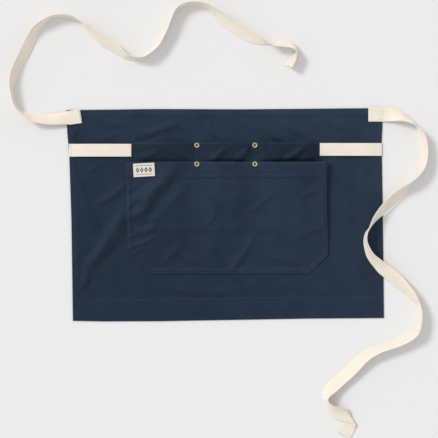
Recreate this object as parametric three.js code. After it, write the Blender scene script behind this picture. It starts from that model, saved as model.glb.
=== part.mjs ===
import * as THREE from 'three';

// A waist apron lying flat on a floor: a canvas panel with two patch pockets one over the other,
// two tape loops for tools, a label, four rivets and two webbing ties.
// Millimetres. +X is the wearer's left as the front is seen, +Y runs up to the waist, +Z up.

// Driving dimensions of the cloth
const panelWidth = 574;
const panelHeight = 386;
const canvasThickness = 1;
const hemThickness = 1.8;
const sideHem = 10;
const topHem = 10;
const bottomHem = 36;
const hemStep = 0.8;
const clearance = 0.3;

// Driving dimensions of the pockets
const frontWidth = 368;
const frontDepth = 204;
const frontDrop = 96;
const frontShift = 2.5;
const frontHem = 31;
const frontPuff = 10.6;
const frontRollRadius = 6;
const frontRollShare = 0.72;
const frontLeftReach = 46;
const cornerCutLeft = { across: 37, up: 45 };
const cornerCutRight = { across: 36, up: 35 };
const rearWidth = 346;
const rearDepth = 159;
const rearDrop = 62;
const rearShift = 0.5;
const rearHem = 14;
const rearPuff = 5.1;
const middleCompartment = 105;
const divisionShift = 1;
const seamFlat = 6;
const seamReach = 20;
const edgeFlat = 4;
const edgeReach = 22;
const puffDepthShare = 0.5;
const coverMargin = 5.5;
const coverLip = 1;

// Driving dimensions of the tape, label, rivets and webbing
const tapeWidth = 23;
const tapeThickness = 1.2;
const loopArch = 4.8;
const loopOverlap = 2.5;
const loopSewn = 5;
const loopReach = 18;
const leftLoopDrop = 76.4;
const rightLoopDrop = 75;
const labelLength = 38.6;
const labelHeight = 24.8;
const labelThickness = 0.8;
const labelInset = 15.7;
const labelDrop = 2;
const labelTurn = 3;
const labelClearance = 0.45;
const rivetDiameter = 9;
const rivetHeight = 1.6;
const rivetDish = 0.7;
const rivetEdgeDrop = 5.4;
const webbingWidth = 25.4;
const webbingThickness = 1.5;
const sewnThickness = 2.4;
const sewnLength = 25;
const tieSettle = 30;
const foldStretch = 0.36;
const foldFoot = 0.01;
const stepsBetweenRows = 2;
const stepsAtFold = 4;

// The panel's side edges, from its bottom (0) to its top (1): how far each stands in,
// as a share of the panel's width
const sideInsets = [
  { rise: 0.0, left: 0.0195, right: 0.0 },
  { rise: 0.48, left: 0.0148, right: 0.0035 },
  { rise: 0.77, left: 0.0085, right: 0.0065 },
  { rise: 0.84, left: 0.005, right: 0.0073 },
  { rise: 0.91, left: 0.0012, right: 0.005 },
  { rise: 1.0, left: 0.0, right: 0.0038 },
];

// The panel's bottom and top edges, from left (0) to right (1): how far each stands in,
// as a share of the panel's height
const endInsets = [
  { across: 0.0, bottom: 0.0025, top: 0.0095 },
  { across: 0.1, bottom: 0.0, top: 0.008 },
  { across: 0.28, bottom: 0.001, top: 0.0044 },
  { across: 0.55, bottom: 0.0078, top: 0.006 },
  { across: 0.75, bottom: 0.013, top: 0.0035 },
  { across: 1.0, bottom: 0.0158, top: 0.0 },
];

// Folds that stand up in the panel: both ends as shares of its width and height,
// height and half width as shares of its height
const panelFolds = [
  { x1: 0.067, y1: 0.276, x2: 0.148, y2: 0.48, height: 0.0085, spread: 0.021 },
  { x1: 0.04, y1: 0.18, x2: 0.055, y2: 0.28, height: 0.004, spread: 0.018 },
];

// Folds that stand up in the front pocket: both ends as shares of its width and depth,
// height and half width as shares of its depth
const frontFolds = [
  { x1: 0.05, y1: 0.42, x2: 0.22, y2: 0.14, height: 0.008, spread: 0.04 },
  { x1: 0.14, y1: 0.52, x2: 0.33, y2: 0.2, height: 0.008, spread: 0.035 },
  { x1: 0.53, y1: 0.95, x2: 0.63, y2: 0.63, height: 0.009, spread: 0.03 },
  { x1: 0.03, y1: 0.7, x2: 0.14, y2: 0.58, height: 0.011, spread: 0.025 },
];

// The front pocket's sides from its mouth (0) to its bottom (1), above the cut corners:
// how far each stands in, as a share of its width
const frontSides = [
  { depth: 0.0, left: 0.0, right: 0.018 },
  { depth: 0.52, left: 0.0083, right: 0.0065 },
  { depth: 0.83, left: 0.0138, right: 0.0 },
  { depth: 1.0, left: 0.0138, right: 0.0 },
];

// Routes of the ties: x and y from the panel's top corner and roll about the webbing's own line.
// Where a tie is folded over, a row adds its lift and the skew of the webbing's edge to its line.
const leftTieRoute = [
  [26, -11, 0], [0, -14.6, 8], [-30, -16.2, 30], [-46, -15.2, 42], [-61, -14.2, 56],
  [-73, -9, 70], [-84, -2, 78], [-93, 10, 80], [-98.5, 29, 82], [-98.5, 48, 70],
  [-92, 71, 54], [-77, 101, 42], [-66, 124, 42], [-54, 146, 54], [-38, 162, 77],
  [-23, 169, 81], [-4, 170, 78], [14, 166, 78], [25, 160, 84], [44, 143, 64],
  [67, 124, 48], [84, 114, 51], [95, 106, 59], [108, 96, 70], [123, 93, 76],
  [138, 95, 88], [149, 104, 104], [161, 117, 115], [171, 133, 115], [180, 149, 108],
  [190, 170, 98], [201, 185, 88], [221, 192, 77], [247, 190, 72], [268, 178, 60],
  [291, 159, 37], [310, 146, 33], [332, 134, 36], [352, 124, 60], [373, 118, 98],
  [395, 120, 122], [408, 116, 112], [414, 107, 92], [411, 97, 64], [406, 88, 46],
  [401, 79, 40],
];
const rightTieRoute = [
  [-26, -12, 0], [0, -12, 0], [20, -12, -18], [35, -15.5, -48], [53, -25, -74],
  [62, -35, -92], [70, -50, -115], [74, -71, -122], [74, -89, -119], [71, -106, -112],
  [62, -123, -98], [51, -136, -82], [35, -151, -56], [17, -167, -47], [1, -183, -53],
  [-14, -200, -68], [-22, -212, -82], [-30, -226, -96], [-32, -240, -102],
  [-29, -253, -110], [-22, -268, -122], [-10, -281, -136], [2, -292, -150],
  [15, -302, -149], [29, -314, -144], [44, -329, -130], [53, -339, -121],
  [63, -354, -105], [68, -369, -98], [68, -384, -98], [65, -396, -103],
  [59, -407, -112], [41, -417, -130], [17, -427, -128], [-7, -435, -130],
  [-31, -448, -138], [-60, -476, -150], [-90, -503, -150], [-103, -518, -128],
  [-104, -530, -112], [-95, -543, -128], [-78, -552, -158, 1.5], [-57, -560, -178, 2.6, 80],
  [-59, -572, -180, 0, 180], [-71, -593, -180, 0, 180],
];

// Plain helpers
const clamp01 = (value) => Math.min(1, Math.max(0, value));
const ease = (value) => clamp01(value) ** 2 * (3 - 2 * clamp01(value));
const mix = (from, to, share) => from + (to - from) * share;

// Reads one named column of a table between its rows.
function readTable(table, key, column, at) {
  let next = table.findIndex((row) => row[key] >= at);
  if (next === -1) next = table.length - 1;
  if (next === 0) return table[0][column];
  const low = table[next - 1];
  const high = table[next];
  const share = clamp01((at - low[key]) / (high[key] - low[key]));
  return mix(low[column], high[column], share);
}

// Height that a table of folds adds at a point given in shares.
function foldHeight(folds, shareX, shareY, aspect) {
  let height = 0;
  for (const fold of folds) {
    const runX = (fold.x2 - fold.x1) * aspect;
    const runY = fold.y2 - fold.y1;
    const offX = (shareX - fold.x1) * aspect;
    const offY = shareY - fold.y1;
    const along = clamp01((offX * runX + offY * runY) / (runX ** 2 + runY ** 2));
    const distance = Math.hypot(offX - along * runX, offY - along * runY);
    height += fold.height * Math.max(0, Math.exp(-((distance / fold.spread) ** 2)) - foldFoot);
  }
  return height;
}

// The panel
function panelPoint(u, v) {
  const left = readTable(sideInsets, 'rise', 'left', v);
  const right = readTable(sideInsets, 'rise', 'right', v);
  const bottom = readTable(endInsets, 'across', 'bottom', u);
  const top = readTable(endInsets, 'across', 'top', u);
  return {
    x: panelWidth * (left + (1 - left - right) * u - 0.5),
    y: panelHeight * (bottom + (1 - bottom - top) * v - 0.5),
  };
}

// Shares of the panel's width and height at a point, found by two corrections.
function panelShares(x, y) {
  let u = clamp01(x / panelWidth + 0.5);
  let v = clamp01(y / panelHeight + 0.5);
  for (let turn = 0; turn < 2; turn += 1) {
    const guess = panelPoint(clamp01(u), clamp01(v));
    u += (x - guess.x) / panelWidth;
    v += (y - guess.y) / panelHeight;
  }
  return { u, v };
}

function panelFoldHeight(u, v) {
  return panelHeight * foldHeight(panelFolds, u, v, panelWidth / panelHeight);
}

function panelIsHem(u, v) {
  const across = Math.min(u, 1 - u) * panelWidth;
  const slack = hemStep / 2;
  return across < sideHem + slack || v * panelHeight < bottomHem + slack
    || (1 - v) * panelHeight < topHem + slack;
}

// Top of the panel's cloth at a point on it.
function panelTop(x, y) {
  const { u, v } = panelShares(x, y);
  return panelFoldHeight(u, v) + (panelIsHem(u, v) ? hemThickness : canvasThickness);
}

// Places of the pockets, from the panel's top edge and middle
const panelTopY = panelHeight / 2;
const rear = {
  left: rearShift - rearWidth / 2,
  right: rearShift + rearWidth / 2,
  mouth: panelTopY - rearDrop,
  bottom: panelTopY - rearDrop - rearDepth,
};
const front = {
  left: frontShift - frontWidth / 2,
  right: frontShift + frontWidth / 2,
  mouth: panelTopY - frontDrop,
  bottom: panelTopY - frontDrop - frontDepth,
};
const divisions = [divisionShift - middleCompartment / 2, divisionShift + middleCompartment / 2];

// How full a compartment stands at a distance from a seam that presses it down.
const seamRise = (distance, flat, reach) => ease((distance - flat) / reach);

// Fullness down a pocket: full to a share of its depth, then down to the bottom seam.
function depthRise(mouth, bottom, y) {
  const depth = (mouth - y) / (mouth - bottom);
  const flatShare = edgeFlat / (mouth - bottom);
  return 1 - ease((depth - puffDepthShare) / (1 - puffDepthShare - flatShare));
}

function divisionRise(x) {
  return Math.min(...divisions.map((line) => seamRise(Math.abs(x - line), seamFlat, seamReach)));
}

// The rear pocket
function rearUnder(x, y) {
  const sides = Math.min(x - rear.left, rear.right - x);
  const rise = Math.min(divisionRise(x), seamRise(sides, edgeFlat, edgeReach));
  return panelTop(x, y) + clearance + rearPuff * rise * depthRise(rear.mouth, rear.bottom, y);
}

const rearCloth = (y) => (rear.mouth - y < rearHem + hemStep / 2 ? hemThickness : canvasThickness);

// How much of the rear pocket's thickness lies under the front one, with a slope beyond its edges.
function rearCover(x, y) {
  const outside = Math.max(rear.left - x, x - rear.right, rear.bottom - y, 0);
  return 1 - clamp01((outside - coverLip) / (coverMargin - coverLip));
}

// The front pocket's left and right edges at a height, with its cut corners.
function frontEdges(y) {
  const depth = (front.mouth - y) / frontDepth;
  const above = y - front.bottom;
  let left = front.left + frontWidth * readTable(frontSides, 'depth', 'left', depth);
  let right = front.right - frontWidth * readTable(frontSides, 'depth', 'right', depth);
  left += cornerCutLeft.across * clamp01(1 - above / cornerCutLeft.up);
  right -= cornerCutRight.across * clamp01(1 - above / cornerCutRight.up);
  return { left, right };
}

// Rise at the right side: the cloth rolls down to its seam there and stands proud.
function rolledRise(distance) {
  const turned = clamp01(distance / frontRollRadius);
  const roll = Math.sqrt(1 - (1 - turned) ** 2);
  return frontRollShare * roll + (1 - frontRollShare) * ease(distance / frontLeftReach);
}

function frontUnder(x, y) {
  const { left, right } = frontEdges(y);
  const leftRise = seamRise(x - left, edgeFlat, frontLeftReach);
  const rise = Math.min(divisionRise(x), leftRise, rolledRise(right - x));
  const seat = panelTop(x, y) + clearance + rearCover(x, y) * (canvasThickness + clearance);
  const folds = frontDepth * foldHeight(
    frontFolds,
    (x - front.left) / frontWidth,
    (front.mouth - y) / frontDepth,
    frontWidth / frontDepth,
  );
  const full = depthRise(front.mouth, front.bottom, y);
  return seat + rise * (frontPuff * full + folds);
}

const frontCloth = (y) => (front.mouth - y < frontHem + hemStep / 2 ? hemThickness : canvasThickness);

// Shared makers of closed thin solids
// Builds a closed sheet from rows of points on its underside and its thickness at each point.
function sheetGeometry(points, thickness) {
  const rows = points.length;
  const columns = points[0].length;
  const along = new THREE.Vector3();
  const up = new THREE.Vector3();
  const positions = [];
  const topPositions = [];
  for (let j = 0; j < rows; j += 1) {
    for (let i = 0; i < columns; i += 1) {
      const before = points[j][Math.max(0, i - 1)];
      const after = points[j][Math.min(columns - 1, i + 1)];
      const below = points[Math.max(0, j - 1)][i];
      const above = points[Math.min(rows - 1, j + 1)][i];
      along.subVectors(after, before);
      up.subVectors(above, below);
      const normal = new THREE.Vector3().crossVectors(along, up).normalize();
      const top = points[j][i].clone().addScaledVector(normal, thickness(i, j));
      positions.push(...points[j][i].toArray());
      topPositions.push(...top.toArray());
    }
  }
  const count = rows * columns;
  const index = [];
  const at = (i, j) => j * columns + i;
  for (let j = 0; j < rows - 1; j += 1) {
    for (let i = 0; i < columns - 1; i += 1) {
      const [a, b, c, d] = [at(i, j), at(i + 1, j), at(i + 1, j + 1), at(i, j + 1)];
      index.push(a, c, b, a, d, c);
      index.push(count + a, count + b, count + c, count + a, count + c, count + d);
    }
  }
  const rim = [];
  for (let i = 0; i < columns - 1; i += 1) rim.push(at(i, 0));
  for (let j = 0; j < rows - 1; j += 1) rim.push(at(columns - 1, j));
  for (let i = columns - 1; i > 0; i -= 1) rim.push(at(i, rows - 1));
  for (let j = rows - 1; j > 0; j -= 1) rim.push(at(0, j));
  rim.forEach((from, k) => {
    const to = rim[(k + 1) % rim.length];
    index.push(from, to, count + to, from, count + to, count + from);
  });
  const geometry = new THREE.BufferGeometry();
  geometry.setAttribute('position', new THREE.Float32BufferAttribute([...positions, ...topPositions], 3));
  geometry.setIndex(index);
  geometry.computeVertexNormals();
  return geometry;
}

// Distances from one end to the other of a length, with given ones near each end.
function spread(length, nearStart, nearEnd, steps) {
  const start = nearStart[nearStart.length - 1];
  const end = length - nearEnd[nearEnd.length - 1];
  const middle = [];
  for (let k = 1; k < steps; k += 1) middle.push(mix(start, end, k / steps));
  return [...nearStart, ...middle, ...nearEnd.map((value) => length - value).reverse()];
}

function material(color, roughness, metalness) {
  return new THREE.MeshStandardMaterial({ color, roughness, metalness, side: THREE.DoubleSide });
}
const canvasMaterial = material(0x2a384a, 0.9, 0);
const webbingMaterial = material(0xf0e6d7, 0.9, 0);
const labelMaterial = material(0xebe8de, 0.85, 0);
const brassMaterial = material(0xa08c5a, 0.35, 1);

function named(name, geometry, surface) {
  const mesh = new THREE.Mesh(geometry, surface);
  mesh.name = name;
  return mesh;
}

function makePanel() {
  const hemPlaces = [0, sideHem, sideHem + hemStep];
  const marginLeft = front.left + panelWidth / 2;
  const columns = [
    ...spread(marginLeft, hemPlaces, [0], 10),
    ...spread(panelWidth - marginLeft, [16], hemPlaces, 16).map((value) => value + marginLeft),
  ];
  const rows = spread(panelHeight, [0, bottomHem, bottomHem + hemStep], [0, topHem, topHem + hemStep], 20);
  const shares = (i, j) => ({ u: columns[i] / panelWidth, v: rows[j] / panelHeight });
  const points = rows.map((row, j) => columns.map((column, i) => {
    const { u, v } = shares(i, j);
    const { x, y } = panelPoint(u, v);
    return new THREE.Vector3(x, y, panelFoldHeight(u, v));
  }));
  const thickness = (i, j) => {
    const { u, v } = shares(i, j);
    return panelIsHem(u, v) ? hemThickness : canvasThickness;
  };
  return named('body_panel', sheetGeometry(points, thickness), canvasMaterial);
}

// Places across a pocket at one height: close together where its cloth turns.
function pocketColumns(left, right, leftTurn, rightTurn) {
  const seamTurn = [0, seamFlat, seamFlat + seamReach / 3, seamFlat + seamReach * 0.67, seamFlat + seamReach];
  const stretches = [
    { from: left, to: divisions[0], start: leftTurn, end: seamTurn, steps: 3 },
    { from: divisions[0], to: divisions[1], start: seamTurn.slice(1), end: seamTurn, steps: 2 },
    { from: divisions[1], to: right, start: seamTurn.slice(1), end: rightTurn, steps: 4 },
  ];
  return stretches.flatMap(({ from, to, start, end, steps }) => (
    spread(to - from, start, end, steps).map((value) => from + value)
  ));
}

function makePocket(name, { mouth, bottom, hem, extraRows, edges, turns, under, cloth }) {
  const heights = spread(mouth - bottom, [0, edgeFlat], [0, hem / 2, hem, hem + hemStep], 11)
    .map((above) => bottom + above);
  heights.push(...extraRows);
  heights.sort((low, high) => low - high);
  const grid = heights.map((y) => {
    const { left, right } = edges(y);
    const { leftTurn, rightTurn } = turns(left);
    return pocketColumns(left, right, leftTurn, rightTurn).map((x) => new THREE.Vector3(x, y, under(x, y)));
  });
  const thickness = (i, j) => cloth(heights[j]);
  return named(name, sheetGeometry(grid, thickness), canvasMaterial);
}

function makeRearPocket() {
  const turn = [0, edgeFlat, edgeFlat + edgeReach / 3, edgeFlat + edgeReach * 0.67, edgeFlat + edgeReach];
  return makePocket('rear_pocket', {
    mouth: rear.mouth,
    bottom: rear.bottom,
    hem: rearHem,
    extraRows: [],
    edges: () => ({ left: rear.left, right: rear.right }),
    turns: () => ({ leftTurn: turn, rightTurn: turn }),
    under: rearUnder,
    cloth: rearCloth,
  });
}

function makeFrontPocket() {
  const leftShares = [0.14, 0.29, 0.44, 0.6, 0.8, 1];
  const rollShares = [0, 0.06, 0.2, 0.45, 0.75, 1.2];
  return makePocket('front_pocket', {
    mouth: front.mouth,
    bottom: front.bottom,
    hem: frontHem,
    extraRows: [rear.bottom - coverMargin, rear.bottom - coverLip],
    edges: frontEdges,
    turns: (left) => ({
      leftTurn: [
        0,
        Math.max(edgeFlat / 2, rear.left - coverLip - left),
        ...leftShares.map((share) => edgeFlat * 2 + (frontLeftReach - edgeFlat) * share),
      ],
      rightTurn: rollShares.map((share) => share * frontRollRadius),
    }),
    under: frontUnder,
    cloth: frontCloth,
  });
}

// A tape sewn down at its ends, with an arch between for a tool.
function makeLoop(name, outerX, innerX, drop) {
  const length = Math.abs(innerX - outerX);
  const direction = Math.sign(innerX - outerX);
  const centreY = panelTopY - drop;
  const outerSeat = hemThickness + clearance;
  const innerSeat = canvasThickness + clearance + hemThickness + clearance;
  const turn = [0, loopSewn, loopSewn + loopReach * 0.33, loopSewn + loopReach * 0.67, loopSewn + loopReach];
  const stations = spread(length, turn, turn, 4);
  const underAt = (distance) => {
    const nearest = Math.min(distance, length - distance);
    const seat = mix(outerSeat, innerSeat, ease(distance / length));
    return seat + (loopArch - (seat - outerSeat)) * seamRise(nearest, loopSewn, loopReach);
  };
  const widths = [-tapeWidth / 2, 0, tapeWidth / 2];
  const points = widths.map((offset) => {
    const row = stations.map((distance) => new THREE.Vector3(
      outerX + direction * distance,
      centreY + offset,
      underAt(distance),
    ));
    return direction > 0 ? row : row.reverse();
  });
  return named(name, sheetGeometry(points, () => tapeThickness), webbingMaterial);
}

// The label lies on the front pocket's hem, so it is bent as the cloth under it is.
function makeLabel() {
  const turn = THREE.MathUtils.degToRad(labelTurn);
  const cornerX = front.left + labelInset;
  const cornerY = front.mouth - labelDrop - labelHeight - labelClearance;
  const step = 0.5;
  const seat = (x, y) => {
    const slopeX = (frontUnder(x + step, y) - frontUnder(x - step, y)) / (2 * step);
    const slopeY = (frontUnder(x, y + step) - frontUnder(x, y - step)) / (2 * step);
    const steep = Math.hypot(1, slopeX, slopeY);
    return frontUnder(x, y) + (hemThickness + labelClearance) * steep;
  };
  const columns = 8;
  const rows = 4;
  const points = [];
  for (let j = 0; j <= rows; j += 1) {
    const row = [];
    for (let i = 0; i <= columns; i += 1) {
      const across = (labelLength * i) / columns;
      const up = (labelHeight * j) / rows;
      const x = cornerX + across * Math.cos(turn) - up * Math.sin(turn);
      const y = cornerY + across * Math.sin(turn) + up * Math.cos(turn) - labelLength * Math.sin(turn);
      row.push(new THREE.Vector3(x, y, seat(x, y)));
    }
    points.push(row);
  }
  return named('label', sheetGeometry(points, () => labelThickness), labelMaterial);
}

// A rivet's cap: a flat ring with a rolled edge round a shallow dish.
function makeRivet(name, x, y, seat) {
  const radius = rivetDiameter / 2;
  const profile = [
    [0, 0],
    [radius * 0.94, 0],
    [radius, rivetHeight * 0.3],
    [radius * 0.9, rivetHeight * 0.85],
    [radius * 0.7, rivetHeight],
    [radius * 0.5, rivetHeight * 0.9],
    [radius * 0.38, rivetHeight - rivetDish],
    [0, rivetHeight - rivetDish],
  ].map(([r, z]) => new THREE.Vector2(r, z));
  const geometry = new THREE.LatheGeometry(profile, 16);
  geometry.rotateX(Math.PI / 2);
  const mesh = named(name, geometry, brassMaterial);
  mesh.position.set(x, y, seat);
  return mesh;
}

// Height of what a tie lies on, easing down to the floor beyond the panel's edge.
function tieSeat(x, y) {
  const beyond = Math.max(Math.abs(x) - panelWidth / 2, Math.abs(y) - panelHeight / 2, 0);
  const near = 1 - ease((beyond - webbingWidth / 2) / tieSettle);
  return (hemThickness + clearance) * near;
}

// Value of one column between two rows, with slopes taken over the rows on either side.
function glide(route, places, column, k, share) {
  const at = (n) => Math.min(route.length - 1, Math.max(0, n));
  const slope = (n) => (
    (route[at(n + 1)][column] - route[at(n - 1)][column]) / (places[at(n + 1)] - places[at(n - 1)])
  );
  const span = places[k + 1] - places[k];
  const s2 = share * share;
  const s3 = s2 * share;
  return (2 * s3 - 3 * s2 + 1) * route[k][column] + (s3 - 2 * s2 + share) * span * slope(k)
    + (3 * s2 - 2 * s3) * route[k + 1][column] + (s3 - s2) * span * slope(k + 1);
}

// Stations along a tie: the middle of the webbing, the direction across it and its thickness.
function tieStations(route, cornerX, cornerY) {
  const rows = route.map(([x, y, roll, lift = 0, skew = 0]) => [x, y, roll, lift, skew]);
  const places = [0];
  for (let k = 1; k < rows.length; k += 1) {
    places.push(places[k - 1] + Math.hypot(rows[k][0] - rows[k - 1][0], rows[k][1] - rows[k - 1][1]));
  }
  const stations = [{ row: rows[0], place: 0 }];
  for (let k = 0; k < rows.length - 1; k += 1) {
    const folded = rows[k][4] !== rows[k + 1][4];
    const steps = folded ? stepsAtFold : stepsBetweenRows;
    for (let step = 1; step <= steps; step += 1) {
      const row = [0, 1, 2, 3, 4].map((column) => glide(rows, places, column, k, step / steps));
      stations.push({ row, place: mix(places[k], places[k + 1], step / steps) });
    }
  }
  return stations.map(({ row, place }, k) => {
    const [fromX, fromY] = stations[Math.max(0, k - 1)].row;
    const [toX, toY] = stations[Math.min(stations.length - 1, k + 1)].row;
    const [dx, dy, roll, lift, skew] = row;
    const turned = THREE.MathUtils.degToRad(skew);
    const lean = THREE.MathUtils.degToRad(roll);
    const heading = Math.atan2(toY - fromY, toX - fromX) + Math.PI / 2 + turned;
    const halfWidth = (webbingWidth / 2) * (1 + foldStretch * Math.sin(turned) ** 2);
    const thickness = place < sewnLength ? sewnThickness : webbingThickness;
    const x = cornerX + dx;
    const y = cornerY + dy;
    const half = halfWidth * Math.abs(Math.sin(lean)) + (thickness / 2) * Math.abs(Math.cos(lean));
    const level = Math.cos(lean);
    return {
      centre: new THREE.Vector3(x, y, tieSeat(x, y) + half + lift),
      across: new THREE.Vector3(level * Math.cos(heading), level * Math.sin(heading), Math.sin(lean))
        .multiplyScalar(halfWidth),
      thickness,
    };
  });
}

// Sweeps the webbing's flat section through its stations.
function makeTie(name, route, cornerX, cornerY) {
  const stations = tieStations(route, cornerX, cornerY);
  const last = stations.length - 1;
  const positions = [];
  const index = [];
  stations.forEach(({ centre, across, thickness }, k) => {
    const forward = new THREE.Vector3()
      .subVectors(stations[Math.min(last, k + 1)].centre, stations[Math.max(0, k - 1)].centre);
    const face = new THREE.Vector3().crossVectors(forward, across).normalize();
    for (const [side, level] of [[1, 1], [-1, 1], [-1, -1], [1, -1]]) {
      const corner = centre.clone().addScaledVector(across, side);
      corner.addScaledVector(face, (level * thickness) / 2);
      positions.push(...corner.toArray());
    }
  });
  for (let k = 0; k < last; k += 1) {
    for (let side = 0; side < 4; side += 1) {
      const a = 4 * k + side;
      const b = 4 * k + ((side + 1) % 4);
      index.push(a, b, b + 4, a, b + 4, a + 4);
    }
  }
  const end = 4 * last;
  index.push(0, 3, 2, 0, 2, 1, end, end + 1, end + 2, end, end + 2, end + 3);
  const geometry = new THREE.BufferGeometry();
  geometry.setAttribute('position', new THREE.Float32BufferAttribute(positions, 3));
  geometry.setIndex(index);
  geometry.computeVertexNormals();
  return named(name, geometry, webbingMaterial);
}

// Seats of the rivets on the pressed seams, and the loops' places between panel edge and pocket
const rearRivetSeat = canvasThickness + clearance + hemThickness + clearance;
const frontRivetSeat = rearRivetSeat - hemThickness + canvasThickness + hemThickness + clearance;
const leftLoopOuter = panelPoint(0, 1 - leftLoopDrop / panelHeight).x;
const rightLoopOuter = panelPoint(1, 1 - rightLoopDrop / panelHeight).x;
const topLeft = panelPoint(0, 1);
const topRight = panelPoint(1, 1);

const apron = new THREE.Group();
apron.add(
  makePanel(),
  makeRearPocket(),
  makeFrontPocket(),
  makeLoop('left_tool_loop', leftLoopOuter, rear.left + loopOverlap, leftLoopDrop),
  makeLoop('right_tool_loop', rightLoopOuter, rear.right - loopOverlap, rightLoopDrop),
  makeLabel(),
  makeRivet('rivet_rear_left', divisions[0], rear.mouth - rivetEdgeDrop, rearRivetSeat),
  makeRivet('rivet_rear_right', divisions[1], rear.mouth - rivetEdgeDrop, rearRivetSeat),
  makeRivet('rivet_front_left', divisions[0], front.mouth - rivetEdgeDrop, frontRivetSeat),
  makeRivet('rivet_front_right', divisions[1], front.mouth - rivetEdgeDrop, frontRivetSeat),
  makeTie('left_tie', leftTieRoute, topLeft.x, topLeft.y),
  makeTie('right_tie', rightTieRoute, topRight.x, topRight.y),
);

export default apron;
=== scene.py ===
"""Dresses a canvas waist apron that lies flat on a pale floor, lit softly from its upper left."""

import logging
import math
from dataclasses import dataclass, field
from enum import Enum
from functools import reduce
from typing import Callable, Optional, Sequence, Union

import bpy
import numpy as np
from mathutils import Matrix, Vector


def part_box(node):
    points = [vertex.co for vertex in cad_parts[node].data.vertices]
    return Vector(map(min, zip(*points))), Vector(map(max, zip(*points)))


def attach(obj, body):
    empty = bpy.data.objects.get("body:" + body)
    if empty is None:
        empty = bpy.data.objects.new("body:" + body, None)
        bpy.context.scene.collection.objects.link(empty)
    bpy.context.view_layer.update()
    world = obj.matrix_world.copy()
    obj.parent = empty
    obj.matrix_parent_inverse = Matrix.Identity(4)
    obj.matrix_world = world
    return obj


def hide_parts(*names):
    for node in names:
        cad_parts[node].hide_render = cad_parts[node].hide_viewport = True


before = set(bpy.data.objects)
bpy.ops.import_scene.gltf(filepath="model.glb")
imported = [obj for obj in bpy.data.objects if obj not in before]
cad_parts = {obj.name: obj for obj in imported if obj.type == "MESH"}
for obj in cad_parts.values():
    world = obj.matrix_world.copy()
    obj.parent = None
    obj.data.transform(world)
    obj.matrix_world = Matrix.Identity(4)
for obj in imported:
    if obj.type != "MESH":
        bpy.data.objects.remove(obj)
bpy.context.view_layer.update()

LOG = logging.getLogger("apron")
MM = 0.001
BODY = "root"
CLOTH_MAP = "cloth"
RUB_MARK = "rub"
GROOVE_WIDTH = 0.7
SLOPE_STEP = 0.5
LABEL_SIZE = (38.6, 24.2)

Array = np.ndarray
Surface = Callable[[Array, Array], Array]
Colour = tuple[float, float, float]
Socket = bpy.types.NodeSocket
Feed = Union[Socket, float, Sequence[float]]


class Slot(Enum):
    """Material slots of the record."""

    CANVAS = "canvas"
    WEBBING = "webbing"
    LABEL = "label"
    BRASS = "brass"


class Side(Enum):
    """Left and right as the apron's front is seen."""

    LEFT = -1
    RIGHT = 1

    @property
    def word(self) -> str:
        """The side's name as the pieces have it."""
        return self.name.lower()


# Plain helpers
def clamp01(value: Array) -> Array:
    """Keeps values between 0 and 1."""
    return np.clip(value, 0.0, 1.0)


def ease(value: Array) -> Array:
    """Goes from 0 to 1 with a level start and end."""
    share = clamp01(value)
    return share * share * (3.0 - 2.0 * share)


def bell(distance: Array, spread: float) -> Array:
    """Stands at 1 where the distance is zero and falls to both sides."""
    return np.exp(-((distance / spread) ** 2))


def waning(distance: Array, reach: float) -> Array:
    """Falls from 1 as the distance grows."""
    return np.exp(-distance / reach)


def grooves(places: Array, marks: Sequence[float], depth: float) -> Array:
    """Depth that stitches press into the cloth at marked places."""
    return depth * sum(bell(places - mark, GROOVE_WIDTH) for mark in marks)


def spaced(length: float, step: float, marks: Sequence[float] = ()) -> Array:
    """Places along a length at an even step, with marked places and a rounded rim.

    Args:
        length: the whole length.
        step: the widest gap between places.
        marks: places that are kept exactly, such as stitch lines.

    Returns:
        The places in order, from 0 to the length.
    """
    even = np.linspace(0.0, length, max(3, int(length / step) + 1))
    kept = [m for m in marks if 1.0 < m < length - 1.0]
    clear = [e for e in even[1:-1] if 1.2 < e < length - 1.2 and all(abs(e - m) > 0.45 for m in kept)]
    rim = [0.0, 0.3, 0.8, length - 0.8, length - 0.3, length]
    return np.array(sorted(set(rim + kept + clear)))


def around(places: Sequence[float], reach: float = 0.9) -> list[float]:
    """Places just before, at and just after each given one, so that a groove fits there."""
    return [p + d for p in places for d in (-reach, 0.0, reach)]


@dataclass(frozen=True)
class Extent:
    """Sides of a piece seen from above, in millimetres."""

    left: float
    right: float
    low: float
    high: float

    @classmethod
    def of(cls, node: str) -> "Extent":
        """Reads the sides of a node's box."""
        low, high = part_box(node)
        return cls(low.x / MM, high.x / MM, low.y / MM, high.y / MM)

    @property
    def width(self) -> float:
        """Size from left to right."""
        return self.right - self.left

    @property
    def height(self) -> float:
        """Size from low to high."""
        return self.high - self.low


@dataclass(frozen=True)
class Fold:
    """A soft ridge between two points: its height, or depth below zero, and its half width."""

    x1: float
    y1: float
    x2: float
    y2: float
    height: float
    spread: float


@dataclass(frozen=True)
class Crease(Fold):
    """A fold in millimetres that bows a little and fades towards both of its ends."""

    def rise(self, x: Array, y: Array) -> Array:
        """Height that the crease adds at a place.

        Args:
            x: places from left to right, in millimetres.
            y: places from low to high, in millimetres.

        Returns:
            Heights in millimetres.
        """
        run_x, run_y = self.x2 - self.x1, self.y2 - self.y1
        length = math.hypot(run_x, run_y)
        share = ((x - self.x1) * run_x + (y - self.y1) * run_y) / length**2
        bow = 0.05 * length * np.sin(clamp01(share) * math.pi)
        off = ((x - self.x1) * run_y - (y - self.y1) * run_x) / length - bow
        fade = ease((share + 0.12) / 0.45) * ease((1.12 - share) / 0.45)
        return self.height * fade * bell(off, self.spread)


def creases(rows: Sequence[tuple[float, ...]]) -> tuple[Crease, ...]:
    """Creases from rows of x1, y1, x2, y2, height and spread."""
    return tuple(Crease(*row) for row in rows)


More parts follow.
